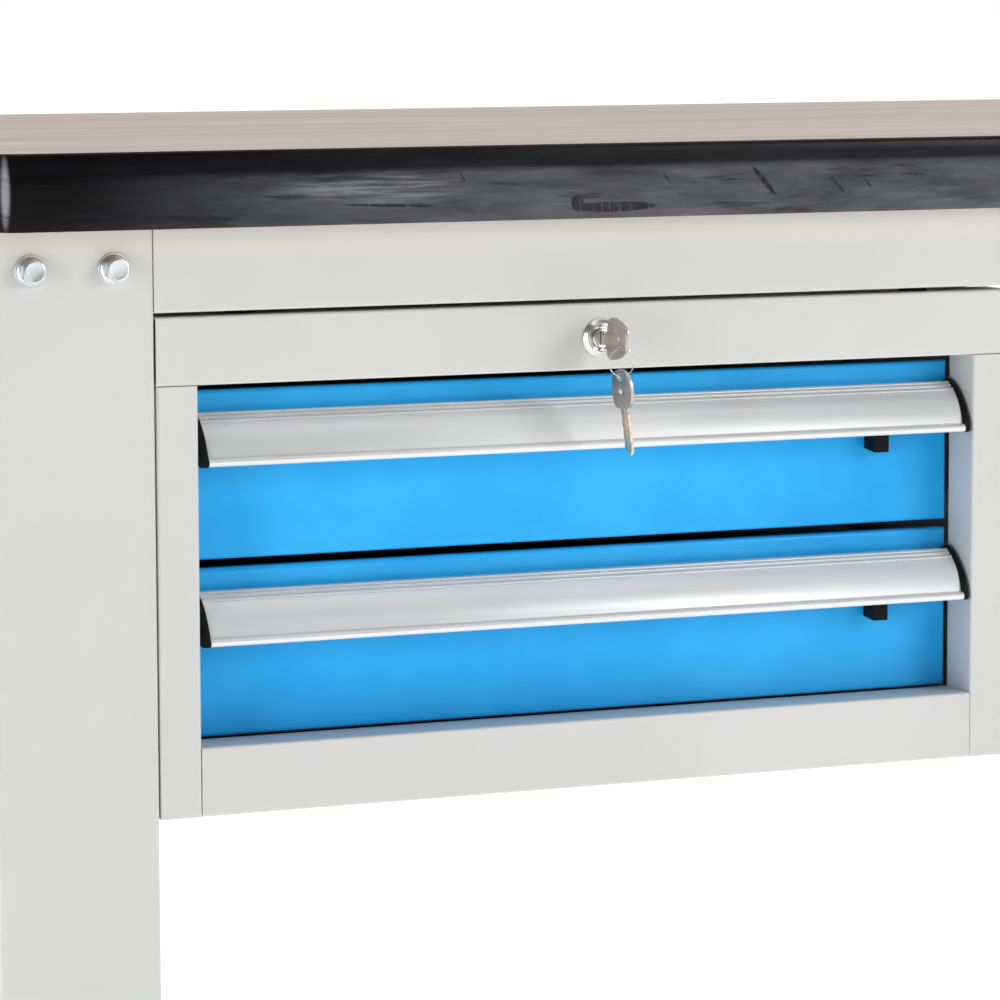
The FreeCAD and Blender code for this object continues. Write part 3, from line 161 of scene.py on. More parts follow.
class Paint:
    """A procedural material; places come from the object's own coordinates, in metres."""

    def __init__(self, name):
        self.material = bpy.data.materials.new(name)
        self.material.use_nodes = True
        self.nodes = self.material.node_tree.nodes
        self.links = self.material.node_tree.links
        self.shader = self.nodes["Principled BSDF"]
        self.where = self.nodes.new("ShaderNodeTexCoord").outputs["Object"]
        self.relief = None

    def feed(self, socket, value):
        if isinstance(value, bpy.types.NodeSocket):
            self.links.new(value, socket)
        elif isinstance(value, tuple):
            socket.default_value = (*value, 1.0) if len(value) == 3 and socket.type == "RGBA" else value
        else:
            socket.default_value = value

    def set(self, socket, value):
        self.feed(self.shader.inputs[socket], value)

    def colour(self, value):
        self.set("Base Color", value)

    def stretched(self, stretch, turn=(0.0, 0.0, 0.0)):
        mapping = self.nodes.new("ShaderNodeMapping")
        self.links.new(self.where, mapping.inputs["Vector"])
        mapping.inputs["Scale"].default_value = stretch
        mapping.inputs["Rotation"].default_value = turn
        return mapping.outputs["Vector"]

    def noise(self, scale, detail=2.0, rough=0.5, stretch=None, turn=(0.0, 0.0, 0.0), twist=0.0):
        node = self.nodes.new("ShaderNodeTexNoise")
        self.links.new(self.stretched(stretch, turn) if stretch else self.where, node.inputs["Vector"])
        node.inputs["Scale"].default_value = scale
        node.inputs["Detail"].default_value = detail
        node.inputs["Roughness"].default_value = rough
        node.inputs["Distortion"].default_value = twist
        return node.outputs["Fac"]

    def cells(self, scale, output="Color"):
        node = self.nodes.new("ShaderNodeTexVoronoi")
        self.links.new(self.where, node.inputs["Vector"])
        node.inputs["Scale"].default_value = scale
        return node.outputs[output]

    def stroke(self, spot, half_size, soft, lean=0.0):
        """1 inside an ellipse on a face that looks along Y, leaning down to the right, and 0 outside.

        The value starts to fall at the soft share of the ellipse's reach.
        """
        mapping = self.nodes.new("ShaderNodeMapping")
        mapping.vector_type = "TEXTURE"
        self.links.new(self.where, mapping.inputs["Vector"])
        mapping.inputs["Location"].default_value = spot
        mapping.inputs["Rotation"].default_value = (0.0, math.radians(lean), 0.0)
        mapping.inputs["Scale"].default_value = (half_size[0], STROKE_DEPTH, half_size[1])
        reach = self.nodes.new("ShaderNodeVectorMath")
        reach.operation = "LENGTH"
        self.links.new(mapping.outputs["Vector"], reach.inputs[0])
        return self.between(reach.outputs["Value"], 1.0, soft)

    def axis(self, letter):
        apart = self.nodes.new("ShaderNodeSeparateXYZ")
        self.links.new(self.where, apart.inputs[0])
        return apart.outputs[letter]

    def between(self, value, low, high, to_low=0.0, to_high=1.0):
        node = self.nodes.new("ShaderNodeMapRange")
        node.interpolation_type = "SMOOTHSTEP"
        self.links.new(value, node.inputs["Value"])
        numbers = {"From Min": low, "From Max": high, "To Min": to_low, "To Max": to_high}
        for socket, number in numbers.items():
            node.inputs[socket].default_value = number
        return node.outputs["Result"]

    def ramp(self, value, stops):
        node = self.nodes.new("ShaderNodeValToRGB")
        elements = node.color_ramp.elements
        while len(elements) < len(stops):
            elements.new(0.5)
        for element, (spot, tone) in zip(elements, stops):
            element.position, element.color = spot, (*tone, 1.0)
        self.links.new(value, node.inputs["Fac"])
        return node.outputs["Color"]

    def mix(self, share, first, second, how="MIX"):
        node = self.nodes.new("ShaderNodeMix")
        node.data_type, node.blend_type = "RGBA", how
        self.feed(node.inputs["Factor"], share)
        self.feed(node.inputs[MIX_FIRST], first)
        self.feed(node.inputs[MIX_SECOND], second)
        return node.outputs[MIX_RESULT]

    def maths(self, how, *values):
        node = self.nodes.new("ShaderNodeMath")
        node.operation, node.use_clamp = how, True
        for socket, value in zip(node.inputs, values):
            self.feed(socket, value)
        return node.outputs[0]

    def worn_edge(self, radius):
        """1 on sharp edges and 0 on flat faces."""
        soft = self.nodes.new("ShaderNodeBevel")
        soft.samples = 4
        soft.inputs["Radius"].default_value = radius
        flat = self.nodes.new("ShaderNodeNewGeometry").outputs["Normal"]
        dot = self.nodes.new("ShaderNodeVectorMath")
        dot.operation = "DOT_PRODUCT"
        self.links.new(soft.outputs["Normal"], dot.inputs[0])
        self.links.new(flat, dot.inputs[1])
        return self.between(dot.outputs["Value"], 0.995, 0.90)

    def bump(self, height, depth, strength=1.0):
        node = self.nodes.new("ShaderNodeBump")
        node.inputs["Distance"].default_value = depth
        node.inputs["Strength"].default_value = strength
        self.links.new(height, node.inputs["Height"])
        if self.relief:
            self.links.new(self.relief, node.inputs["Normal"])
        self.relief = node.outputs["Normal"]
        self.links.new(self.relief, self.shader.inputs["Normal"])

    def done(self):
        return self.material


def powder_coat(name, pale, deep, worn, rough=(0.36, 0.5), gloss=0.4):
    """Oven-cured paint: faint clouds, a fine orange peel and slightly rubbed edges."""
    paint = Paint(name)
    clouds = paint.noise(5.5, detail=4, rough=0.6)
    base = paint.ramp(clouds, [(0.34, deep), (0.62, pale)])
    grime = paint.noise(38, detail=5, rough=0.7)
    rubbed = paint.maths("MULTIPLY", paint.worn_edge(0.0012), paint.between(grime, 0.36, 0.62))
    paint.colour(paint.mix(paint.maths("MULTIPLY", rubbed, 0.7), base, worn))
    blotch = paint.noise(16, detail=3, rough=0.65)
    paint.set("Roughness", paint.between(blotch, 0.3, 0.7, rough[0], rough[1]))
    paint.set("Specular IOR Level", gloss)
    paint.bump(paint.noise(620, detail=2, rough=0.4), 0.00004, 0.6)
    paint.bump(paint.noise(95, detail=2, rough=0.5), 0.00008, 0.5)
    return paint.done()


def wood_laminate():
    """Pale wood print: soft clouds drawn out along the bench, faint streaks, and a few darker pores."""
    paint = Paint("wood_laminate")
    boards = paint.noise(5, detail=4, rough=0.6, stretch=(0.35, 2.4, 1.0), twist=0.8)
    streaks = paint.noise(16, detail=6, rough=0.62, stretch=(0.14, 3.0, 1.0), twist=1.2)
    grain = paint.noise(150, detail=4, rough=0.6, stretch=(0.05, 3.0, 1.0), twist=0.4)
    tone = paint.ramp(boards, [(0.3, (0.470, 0.400, 0.355)), (0.7, (0.580, 0.500, 0.452))])
    streaked = paint.mix(paint.between(streaks, 0.44, 0.74, 0.0, 0.6), tone, (0.400, 0.330, 0.286))
    pores = paint.between(grain, 0.60, 0.78, 0.0, 0.35)
    paint.colour(paint.mix(pores, streaked, (0.310, 0.246, 0.208)))
    paint.set("Roughness", paint.between(streaks, 0.3, 0.7, 0.55, 0.68))
    paint.set("Specular IOR Level", 0.15)
    paint.bump(grain, 0.00005, 0.4)
    return paint.done()


BAND_SPLIT = 32.5 * MM      # underside to the line where the grey of painted sheen and rubbing ends
# places on the band: the first number runs from its left end, the second down from its top, both in mm
SCUFFS = [  # place, half length, half width, lean in degrees, darkness
    (497.8, 25.5, 14.0, 1.9, 48, 0.9), (549.2, 29.0, 8.0, 1.3, 46, 0.65), (570.4, 28.0, 4.5, 1.1, 50, 0.55),
    (430.7, 22.0, 5.0, 1.1, 52, 0.6), (245.8, 35.0, 33.0, 1.0, 2, 0.85), (294.0, 19.0, 4.0, 1.0, 62, 0.55),
    (394.7, 39.0, 32.5, 3.6, 0, 0.8), (370.4, 36.5, 6.0, 5.0, 60, 0.85),
]
SHEEN_PATCH = (238.0, 25.0, 80.0, 12.0)      # a painted sheen, a pale patch low on the band: place, half length, half height
CORNER_HIGHLIGHT = (7.2, 23.0, 3.2, 26.0)           # the same, for a painted highlight: a pale streak on the rounded left corner
CORNER_BACK = 5.0 * MM                        # the corner's surface lies this far behind the band's front
SCUFF_LEAN = 50                               # degrees, of the fine scuffs
BLACK_RUBBER = (0.0022, 0.0022, 0.0026), (0.005, 0.005, 0.0058)
# grey of the band's lower part: partly painted sheen, partly rubbing
SHEEN_AND_RUB_GREY = (0.135, 0.137, 0.150)
# colour of the painted sheen patch
SHEEN_TONE = (0.235, 0.238, 0.255)
# colour of the painted highlight on the rounded left corner
CORNER_HIGHLIGHT_TONE = (0.36, 0.35, 0.37)
SCUFF_TONE = (0.011, 0.011, 0.013)


def edge_rubber():
    """Black edge band: clean along its upper third, grey below as partly painted sheen and partly rubbing, with
    slanting scuffs.
    """
    paint = Paint("edge_rubber")
    low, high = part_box("worktop_edge")
    height, along_bench = paint.axis("Z"), paint.axis("X")
    split = low.z + BAND_SPLIT
    below = paint.between(height, split + 2 * MM, split - 4 * MM)
    clouds = paint.noise(11, detail=5, rough=0.62, stretch=(0.5, 0.5, 2.0), twist=0.6)
    fine = paint.noise(60, detail=6, rough=0.75, stretch=(0.3, 0.3, 2.4))
    # the painted sheen and the rubbing both fade out towards the left end
    reach = paint.between(along_bench, low.x + 0.03, low.x + 0.28)
    patches = paint.maths("MULTIPLY", paint.between(clouds, 0.30, 0.66, 0.25, 1.0), reach)
    patchy_sheen_and_rub = paint.maths("MULTIPLY", patches, paint.between(fine, 0.25, 0.75, 0.55, 1.0))
    # grey below the split line: partly painted sheen, partly rubbing
    sheen_and_rub_below = paint.maths("MULTIPLY", patchy_sheen_and_rub, paint.maths("MULTIPLY_ADD", below, 0.88, 0.12))
    black = paint.ramp(fine, list(zip((0.3, 0.7), BLACK_RUBBER)))
    tone = paint.mix(sheen_and_rub_below, black, SHEEN_AND_RUB_GREY)

    def place(run, drop, back=0.0):
        return (low.x + run * MM, low.y + back, high.z - drop * MM)

    # painted sheen: a pale patch low on the band, broken up by fibres
    run, drop, half_long, half_high = SHEEN_PATCH
    rubbed = paint.stroke(place(run, drop), (half_long * MM, half_high * MM), soft=0.3)
    fibres = paint.noise(300, detail=5, rough=0.75, stretch=(0.05, 1.0, 1.0))
    rubbed = paint.maths("MULTIPLY", rubbed, paint.between(fibres, 0.34, 0.66))
    tone = paint.mix(paint.maths("MULTIPLY", rubbed, 0.85), tone, SHEEN_TONE)
    # painted highlight: a pale vertical streak on the rounded left corner, standing in for a glint
    run, drop, half_long, half_high = CORNER_HIGHLIGHT
    corner = paint.stroke(place(run, drop, CORNER_BACK), (half_long * MM, half_high * MM), soft=0.3)
    corner = paint.maths("MULTIPLY", corner, paint.between(fine, 0.25, 0.6, 0.5, 1.0))
    tone = paint.mix(paint.maths("MULTIPLY", corner, 0.8), tone, CORNER_HIGHLIGHT_TONE)

    slant = (0.0, math.radians(SCUFF_LEAN), 0.0)
    thin = paint.noise(75, detail=3, rough=0.6, stretch=(0.16, 0.5, 1.6), turn=slant)
    marks = paint.maths("MULTIPLY", paint.between(thin, 0.60, 0.68, 0.0, 0.55), below)
    teeth = paint.noise(700, detail=2, rough=0.5, stretch=(1.0, 0.5, 0.12))
    for run, drop, half_long, half_wide, lean, dark in SCUFFS:
        shape = paint.stroke(place(run, drop), (half_long * MM, half_wide * MM), soft=0.75, lean=lean)
        broken = paint.maths("MULTIPLY", shape, paint.between(teeth, 0.32, 0.52, 0.45, 1.0))
        marks = paint.maths("MAXIMUM", marks, paint.maths("MULTIPLY", broken, dark))
    paint.colour(paint.mix(marks, tone, SCUFF_TONE))
    paint.set("Roughness", paint.between(sheen_and_rub_below, 0.0, 0.8, 0.2, 0.55))
    paint.set("Specular IOR Level", 0.1)
    paint.bump(fine, 0.00015, 0.3)
    paint.bump(thin, 0.0002, 0.25)
    return paint.done()


def plated(name, bright, dull, rough, spangle=0.0):
    """Bare or plated metal: blotches of tone and gloss, rubbed edges, and a share of grey spangle."""
    paint = Paint(name)
    clouds = paint.noise(70, detail=4, rough=0.65)
    base = paint.ramp(clouds, [(0.3, dull), (0.7, bright)])
    if spangle:
        flakes = paint.ramp(paint.cells(190), [(0.2, (0.35, 0.35, 0.35)), (0.8, (0.65, 0.65, 0.65))])
        base = paint.mix(spangle, base, flakes, how="OVERLAY")
    edge = paint.maths("MULTIPLY", paint.worn_edge(0.0006), 0.5)
    paint.colour(paint.mix(edge, base, tuple(min(1.0, tone * 1.12) for tone in bright)))
    paint.set("Metallic", 1.0)
    paint.set("Roughness", paint.between(clouds, 0.3, 0.7, rough[0], rough[1]))
    paint.bump(paint.noise(420, detail=3, rough=0.6), 0.00003, 0.5)
    return paint.done()


def anodised():
    """Extruded aluminium: a matt satin surface with faint draw lines along the grip."""
    paint = Paint("anodised_grip")
    lines = paint.noise(620, detail=4, rough=0.65, stretch=(0.012, 1.0, 1.0))
    haze = paint.noise(11, detail=3, rough=0.6, stretch=(0.5, 1.0, 1.0))
    base = paint.ramp(haze, [(0.3, (0.73, 0.735, 0.735)), (0.7, (0.79, 0.795, 0.795))])
    paint.colour(paint.mix(paint.between(lines, 0.4, 0.7, 0.0, 0.12), base, (0.64, 0.65, 0.66)))
    paint.set("Metallic", 0.38)
    paint.set("Roughness", paint.between(haze, 0.3, 0.7, 0.38, 0.46))
    paint.bump(lines, 0.00001, 0.3)
    return paint.done()


def black_plastic():
    paint = Paint("black_plastic")
    grit = paint.noise(900, detail=3, rough=0.6)
    clouds = paint.noise(60, detail=4, rough=0.6)
    base = paint.ramp(clouds, [(0.3, (0.0035, 0.0035, 0.0038)), (0.7, (0.007, 0.007, 0.0076))])
    edge = paint.maths("MULTIPLY", paint.worn_edge(0.0006), 0.5)
    paint.colour(paint.mix(edge, base, (0.035, 0.035, 0.037)))
    paint.set("Roughness", paint.between(clouds, 0.3, 0.7, 0.36, 0.5))
    paint.set("Specular IOR Level", 0.1)
    paint.bump(grit, 0.00005, 0.6)
    return paint.done()


SHOULDER_DROP = 27.0 * MM       # top of the hanging key to the shoulder of its blade


def key_metal():
    """Nickelled bow and, further down, a blade whose plating has worn to brass."""
    paint = Paint("key_metal")
    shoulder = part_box("hanging_key")[1].z - SHOULDER_DROP
    blade = paint.between(paint.axis("Z"), shoulder + 2 * MM, shoulder - 3 * MM)
    lines = paint.noise(800, detail=3, rough=0.6, stretch=(1.0, 1.0, 0.06))
    clouds = paint.noise(120, detail=4, rough=0.6)
    nickel = paint.ramp(clouds, [(0.3, (0.41, 0.37, 0.34)), (0.7, (0.56, 0.52, 0.47))])
    brass = paint.ramp(clouds, [(0.3, (0.62, 0.48, 0.31)), (0.7, (0.78, 0.66, 0.48))])
    base = paint.mix(blade, nickel, brass)
    edge = paint.maths("MULTIPLY", paint.worn_edge(0.0005), 0.8)
    paint.colour(paint.mix(edge, base, (0.93, 0.91, 0.87)))
    paint.set("Metallic", 1.0)
    paint.set("Roughness", paint.between(clouds, 0.3, 0.7, 0.3, 0.44))
    paint.bump(lines, 0.00003, 0.5)
    return paint.done()


def pressed_board():
    paint = Paint("pressed_board")
    chips = paint.noise(160, detail=4, rough=0.7, stretch=(1.0, 0.5, 1.0))
    flecks = paint.cells(240, "Distance")
    base = paint.ramp(chips, [(0.3, (0.30, 0.20, 0.115)), (0.7, (0.52, 0.38, 0.245))])
    paint.colour(paint.mix(paint.between(flecks, 0.2, 0.7, 0.0, 0.4), base, (0.20, 0.13, 0.075)))
    paint.set("Roughness", paint.between(chips, 0.3, 0.7, 0.7, 0.85))
    paint.bump(chips, 0.0003, 0.5)
    return paint.done()


FOOT_PAD = 14.2 * MM        # height of the black pad


def foot_paint():
    """Black moulded pad below, zinc plated stem and nut above."""
    paint = Paint("foot_pad_and_stem")
    level = paint.between(paint.axis("Z"), FOOT_PAD - 0.3 * MM, FOOT_PAD + 0.3 * MM)
    clouds = paint.noise(90, detail=4, rough=0.65)
    plastic = paint.ramp(clouds, [(0.3, (0.012, 0.012, 0.012)), (0.7, (0.022, 0.022, 0.022))])
    zinc = paint.ramp(clouds, [(0.3, (0.60, 0.62, 0.64)), (0.7, (0.80, 0.81, 0.82))])
    paint.colour(paint.mix(level, plastic, zinc))
    paint.set("Metallic", level)
    paint.set("Roughness", paint.between(clouds, 0.3, 0.7, 0.3, 0.5))
    paint.bump(paint.noise(700, detail=3), 0.00005, 0.5)
    return paint.done()


def make_materials():
    """Finishes by material slot, with two more: foot for the feet, and a near-black one for the hanging bolts,
    painted shade that sinks them into the dark gap.
    """
    return {
        "grey_paint": powder_coat(
            "grey_powder_coat", pale=(0.650, 0.655, 0.640), deep=(0.620, 0.626, 0.608),
            worn=(0.74, 0.74, 0.73),
        ),
        "blue_paint": powder_coat(
            "blue_powder_coat", pale=(0.026, 0.485, 0.98), deep=(0.004, 0.370, 0.84), worn=(0.12, 0.58, 0.98),
            rough=(0.3, 0.42), gloss=0.26,
        ),
        "wood_top": wood_laminate(),
        "board": pressed_board(),
        "edge_rubber": edge_rubber(),
        "zinc": plated("bright_zinc", (0.76, 0.78, 0.79), (0.52, 0.54, 0.56), (0.32, 0.46)),
        "galvanised": plated(
            "galvanised_steel", (0.66, 0.68, 0.70), (0.50, 0.52, 0.54), (0.34, 0.5), spangle=0.25,
        ),
        "anodised": anodised(),
        "black_plastic": black_plastic(),
        "chrome": plated("nickel_chrome", (0.76, 0.75, 0.73), (0.62, 0.61, 0.59), (0.16, 0.28)),
        "key_metal": key_metal(),
        # near black: painted shade, so the hanging bolts sink into the dark gap they hang in
        "gap_shade_black": plated("gap_shade_black", (0.022, 0.022, 0.024), (0.012, 0.012, 0.013), (0.5, 0.65)),
        "foot": foot_paint(),
    }


# ---------------------------------------------------------------- mesh helpers

def new_piece(name, body, material, stands_for=()):
    """An empty mesh object that rides on a body and takes a slot's finish."""
    mesh = bpy.data.meshes.new(name)
    mesh.materials.append(material)
    piece = bpy.data.objects.new(name, mesh)
    bpy.context.scene.collection.objects.link(piece)
    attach(piece, body)
    if stands_for:
        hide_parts(*stands_for)
    return piece


def add_rings(bm, rings, loop=False):
    """Skins a row of rings that all have the same number of points; the row is closed or has two caps."""
    rows = [[bm.verts.new(point) for point in ring] for ring in rings]
    count = len(rows[0])
    pairs = list(zip(rows, rows[1:])) + ([(rows[-1], rows[0])] if loop else [])
    for low, high in pairs:
        for n in range(count):
            after = (n + 1) % count
            bm.faces.new((low[n], low[after], high[after], high[n]))
    if not loop:
        bm.faces.new(list(reversed(rows[0])))
        bm.faces.new(rows[-1])


def finish_mesh(bm, piece, sharp=35.0):
    bmesh.ops.remove_doubles(bm, verts=bm.verts, dist=1e-7)
    bmesh.ops.recalc_face_normals(bm, faces=bm.faces)
    limit = math.radians(sharp)
    for edge in bm.edges:
        edge.smooth = len(edge.link_faces) == 2 and edge.calc_face_angle(0.0) < limit
    for face in bm.faces:
        face.smooth = True
    bm.to_mesh(piece.data)
    bm.free()


def circle_points(radius, height, frame_matrix, steps=72):
    """A ring across the axis; radius may depend on the angle."""
    ring = []
    for n in range(steps):
        angle = 2 * math.pi * n / steps
        reach = radius(angle) if callable(radius) else radius
        level = height(angle) if callable(height) else height
        ring.append(frame_matrix @ Vector((reach * math.cos(angle), reach * math.sin(angle), level)))
    return ring


def along(direction, spot):
    """Matrix whose +Z runs along the direction from the spot."""
    return Matrix.Translation(spot) @ Vector(direction).to_track_quat("Z", "Y").to_matrix().to_4x4()


def islands(node):
    """Boxes of a CAD node's separate solids."""
    mesh = NODES[node].data
    bm = bmesh.new()
    bm.from_mesh(mesh)
    bmesh.ops.remove_doubles(bm, verts=bm.verts, dist=1e-5)
    seen, found = set(), []
    for start in bm.verts:
        if start in seen:
            continue
        seen.add(start)
        queue, points = [start], []
        while queue:
            vertex = queue.pop()
            points.append(vertex.co.copy())
            for edge in vertex.link_edges:
                other = edge.other_vert(vertex)
                if other not in seen:
                    seen.add(other)
                    queue.append(other)
        low = Vector([min(p[k] for p in points) for k in range(3)])
        high = Vector([max(p[k] for p in points) for k in range(3)])
        found.append((low, high))
    bm.free()
    return sorted(found, key=lambda box: tuple(box[0]))


# ---------------------------------------------------------------- pieces

def hex_reach(across):
    """Distance from a hexagon's centre to its side, at an angle."""
    def reach(angle):
        turned = (angle + math.pi / 6) % (math.pi / 3) - math.pi / 6
        return across / 2 / math.cos(turned)
    return reach


def add_hex(bm, matrix, across, low, high, top_round, slope=0.55):
    """Hexagonal prism whose upper end is turned to a cone, as on a nut or bolt head."""
    reach = hex_reach(across)

    def shoulder(angle):
        return high - max(reach(angle) - top_round, 0.0) * slope

    add_rings(bm, [
        circle_points(reach, low, matrix),
        circle_points(reach, shoulder, matrix),
        circle_points(top_round, high, matrix),
        circle_points(top_round * 0.86, high, matrix),
        circle_points(top_round * 0.78, high - 0.10 * MM, matrix),
        circle_points(top_round * 0.2, high - 0.12 * MM, matrix),
    ])


BOLT_ACROSS = 13.0 * MM
BOLT_HEAD = 8.5 * MM        # hexagon and flange together
BOLT_TOP = 6.3 * MM         # radius of the flat on the head
HEX_START = 1.4 * MM
SHANK = 4.0 * MM
SHANK_TIP = 3.2 * MM
SHANK_CHAMFER = 0.8 * MM
SHANK_STEPS = 32
FLANGE_RIM = [(-0.2, 0.0), (0.0, 0.3), (-0.1, 0.9), (-0.6, 1.3)]      # past its radius and up, in mm
FLANGE_ROOT = [(0.7, 2.1), (-1.0, 2.3)]                               # past the hexagon's side and up, in mm


def add_flange_bolt(bm, spot, outwards, flange):
    """Flange bolt head whose base is at the spot; flange is its radius."""
    matrix = along(outwards, spot)
    rings = [circle_points(flange + past * MM, up * MM, matrix) for past, up in FLANGE_RIM]
    rings += [circle_points(BOLT_ACROSS / 2 + past * MM, up * MM, matrix) for past, up in FLANGE_ROOT]
    add_rings(bm, rings)
    add_hex(bm, matrix, BOLT_ACROSS, HEX_START, BOLT_HEAD, BOLT_TOP)


WASHER_BORE = 4.2 * MM
WASHER_RIM = 0.25 * MM


def add_washer(bm, low, high):
    """Washer with rounded rims, in the box of its CAD solid, with its axis along Y."""
    middle = (low + high) / 2
    outside = (high.x - low.x) / 2
    thick = high.y - low.y
    matrix = along((0, 1, 0), (middle.x, low.y, middle.z))
    section = [
        (WASHER_BORE, 0.0), (outside - WASHER_RIM, 0.0), (outside, WASHER_RIM),
        (outside, thick - WASHER_RIM), (outside - WASHER_RIM, thick), (WASHER_BORE, thick),
    ]
    add_rings(bm, [circle_points(radius, up, matrix) for radius, up in section], loop=True)


def frame_bolts(materials):
    for end, towards in (("front", -1), ("rear", 1)):
        node = f"{end}_frame_bolts"
        piece = new_piece(f"{end}_flange_bolts", "bench", materials["zinc"], [node])
        bm = bmesh.new()
        for low, high in islands(node):
            middle = (low + high) / 2
            tip, back = (low.y, high.y) if towards < 0 else (high.y, low.y)
            base = tip - towards * BOLT_HEAD
            add_flange_bolt(bm, (middle.x, base, middle.z), (0, towards, 0), (high.x - low.x) / 2)
            shank = along((0, -towards, 0), (middle.x, base, middle.z))
            long = abs(back - base)
            section = [(SHANK, 0.0), (SHANK, long - SHANK_CHAMFER), (SHANK_TIP, long)]
            add_rings(bm, [circle_points(radius, up, shank, SHANK_STEPS) for radius, up in section])
        finish_mesh(bm, piece)
    piece = new_piece("round_washers", "bench", materials["zinc"], ["frame_washers"])
    bm = bmesh.new()
    for low, high in islands("frame_washers"):
        add_washer(bm, low, high)
    finish_mesh(bm, piece)


BAND_PROFILE = [  # inwards from the outermost line and up from the underside, in mm
    (4.0, 0.0), (1.6, 0.0), (0.9, 0.25), (0.45, 0.9), (0.2, 2.2), (0.05, 6.0), (0.0, 13.0), (0.0, 21.0),
    (0.08, 27.5), (0.2, 31.0), (0.42, 32.6), (0.5, 34.0), (0.62, 39.0), (0.9, 43.0), (1.35, 44.8),
    (2.1, 45.7), (3.0, 46.0), (4.0, 46.0),
]
BAND_CORNER = 18.0 * MM
CORNER_STEPS = 14
SIDE_STEPS = 40
SIDE_LONGER = 0.1           # m: only the straight sides have longer steps than this


def band_path(inset, low, high):
    """A rounded rectangle round the top, as a list of points."""
    radius = BAND_CORNER - inset
    corners = [
        (low.x + BAND_CORNER, low.y + BAND_CORNER, 180), (high.x - BAND_CORNER, low.y + BAND_CORNER, 270),
        (high.x - BAND_CORNER, high.y - BAND_CORNER, 0), (low.x + BAND_CORNER, high.y - BAND_CORNER, 90),
    ]
    points = []
    for x, y, start in corners:
        for n in range(CORNER_STEPS + 1):
            angle = math.radians(start + 90 * n / CORNER_STEPS)
            points.append(Vector((x + radius * math.cos(angle), y + radius * math.sin(angle), 0.0)))
    path = []
    for n, point in enumerate(points):
        path.append(point)
        following = points[(n + 1) % len(points)]
        if (following - point).length > SIDE_LONGER:
            path += [point.lerp(following, k / SIDE_STEPS) for k in range(1, SIDE_STEPS)]
    return path


def edge_band(materials):
    low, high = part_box("worktop_edge")
    piece = new_piece("rubber_edge_band", "bench", materials["edge_rubber"], ["worktop_edge"])
    bm = bmesh.new()
    rings = []
    for inset, rise in BAND_PROFILE:
        lift = Vector((0, 0, low.z + rise * MM))
        rings.append([point + lift for point in band_path(inset * MM, low, high)])
    add_rings(bm, rings, loop=True)
    finish_mesh(bm, piece, sharp=60)


def add_plate(bm, outlines, thick, bevel, matrix):
    """A flat plate cut to its first outline with the others as holes, with bevelled rims."""
    curve = bpy.data.curves.new("plate_outline", "CURVE")
    curve.dimensions, curve.fill_mode = "2D", "BOTH"
    curve.extrude, curve.bevel_depth, curve.bevel_resolution = thick / 2 - bevel, bevel, 2
    curve.offset = -bevel
    for outline in outlines:
        spline = curve.splines.new("POLY")
        spline.points.add(len(outline) - 1)
        for point, (u, v) in zip(spline.points, outline):
            point.co = (u, v, 0.0, 1.0)
        spline.use_cyclic_u = True
    holder = bpy.data.objects.new("plate_outline", curve)
    mesh = bpy.data.meshes.new_from_object(holder)
    mesh.transform(matrix)
    bm.from_mesh(mesh)
    bpy.data.objects.remove(holder)
    bpy.data.curves.remove(curve)
    bpy.data.meshes.remove(mesh)


def smooth_outline(corners, rounds):
    """Chaikin's corner cutting, for an outline given by a few points in mm."""
    points = [Vector(corner) * MM for corner in corners]
    for _ in range(rounds):
        cut = []
        for n, point in enumerate(points):
            following = points[(n + 1) % len(points)]
            cut += [point.lerp(following, 0.25), point.lerp(following, 0.75)]
        points = cut
    return [tuple(point) for point in points]


def round_hole(across, up, radius, steps=28):
    angles = [2 * math.pi * n / steps for n in range(steps)]
    return [((across + radius * math.cos(a)) * MM, (up + radius * math.sin(a)) * MM) for a in angles]


def straight_outline(corners):
    """An outline given in mm, as it is."""
    return [(u * MM, v * MM) for u, v in corners]


# outlines in mm: the first number runs out from the lock's face, the second up from its axis
LOCK_KEY_BOW = [
    (13.6, 5.0), (14.2, 10.5), (18.2, 14.2), (25.0, 13.8), (33.0, 11.6), (39.6, 9.2), (41.6, 7.6),
    (41.6, 1.0), (41.6, -4.6), (39.5, -6.4), (32.0, -10.4), (22.0, -12.4), (15.6, -12.2), (12.8, -9.0),
    (13.4, -5.0), (10.5, -5.0), (10.5, 5.0),
]
LOCK_KEY_EYE = (33.0, -4.5, 1.9)
LOCK_KEY_PANEL = [(20.5, 6.4), (31.5, 6.4), (31.5, -1.6), (20.5, -1.6)]
LOCK_KEY_BLADE = [(11.5, 4.0), (11.5, -4.0), (-22.0, -4.0), (-22.0, 4.0)]
PANEL_THICK, PANEL_RIM = 0.9 * MM, 0.3 * MM
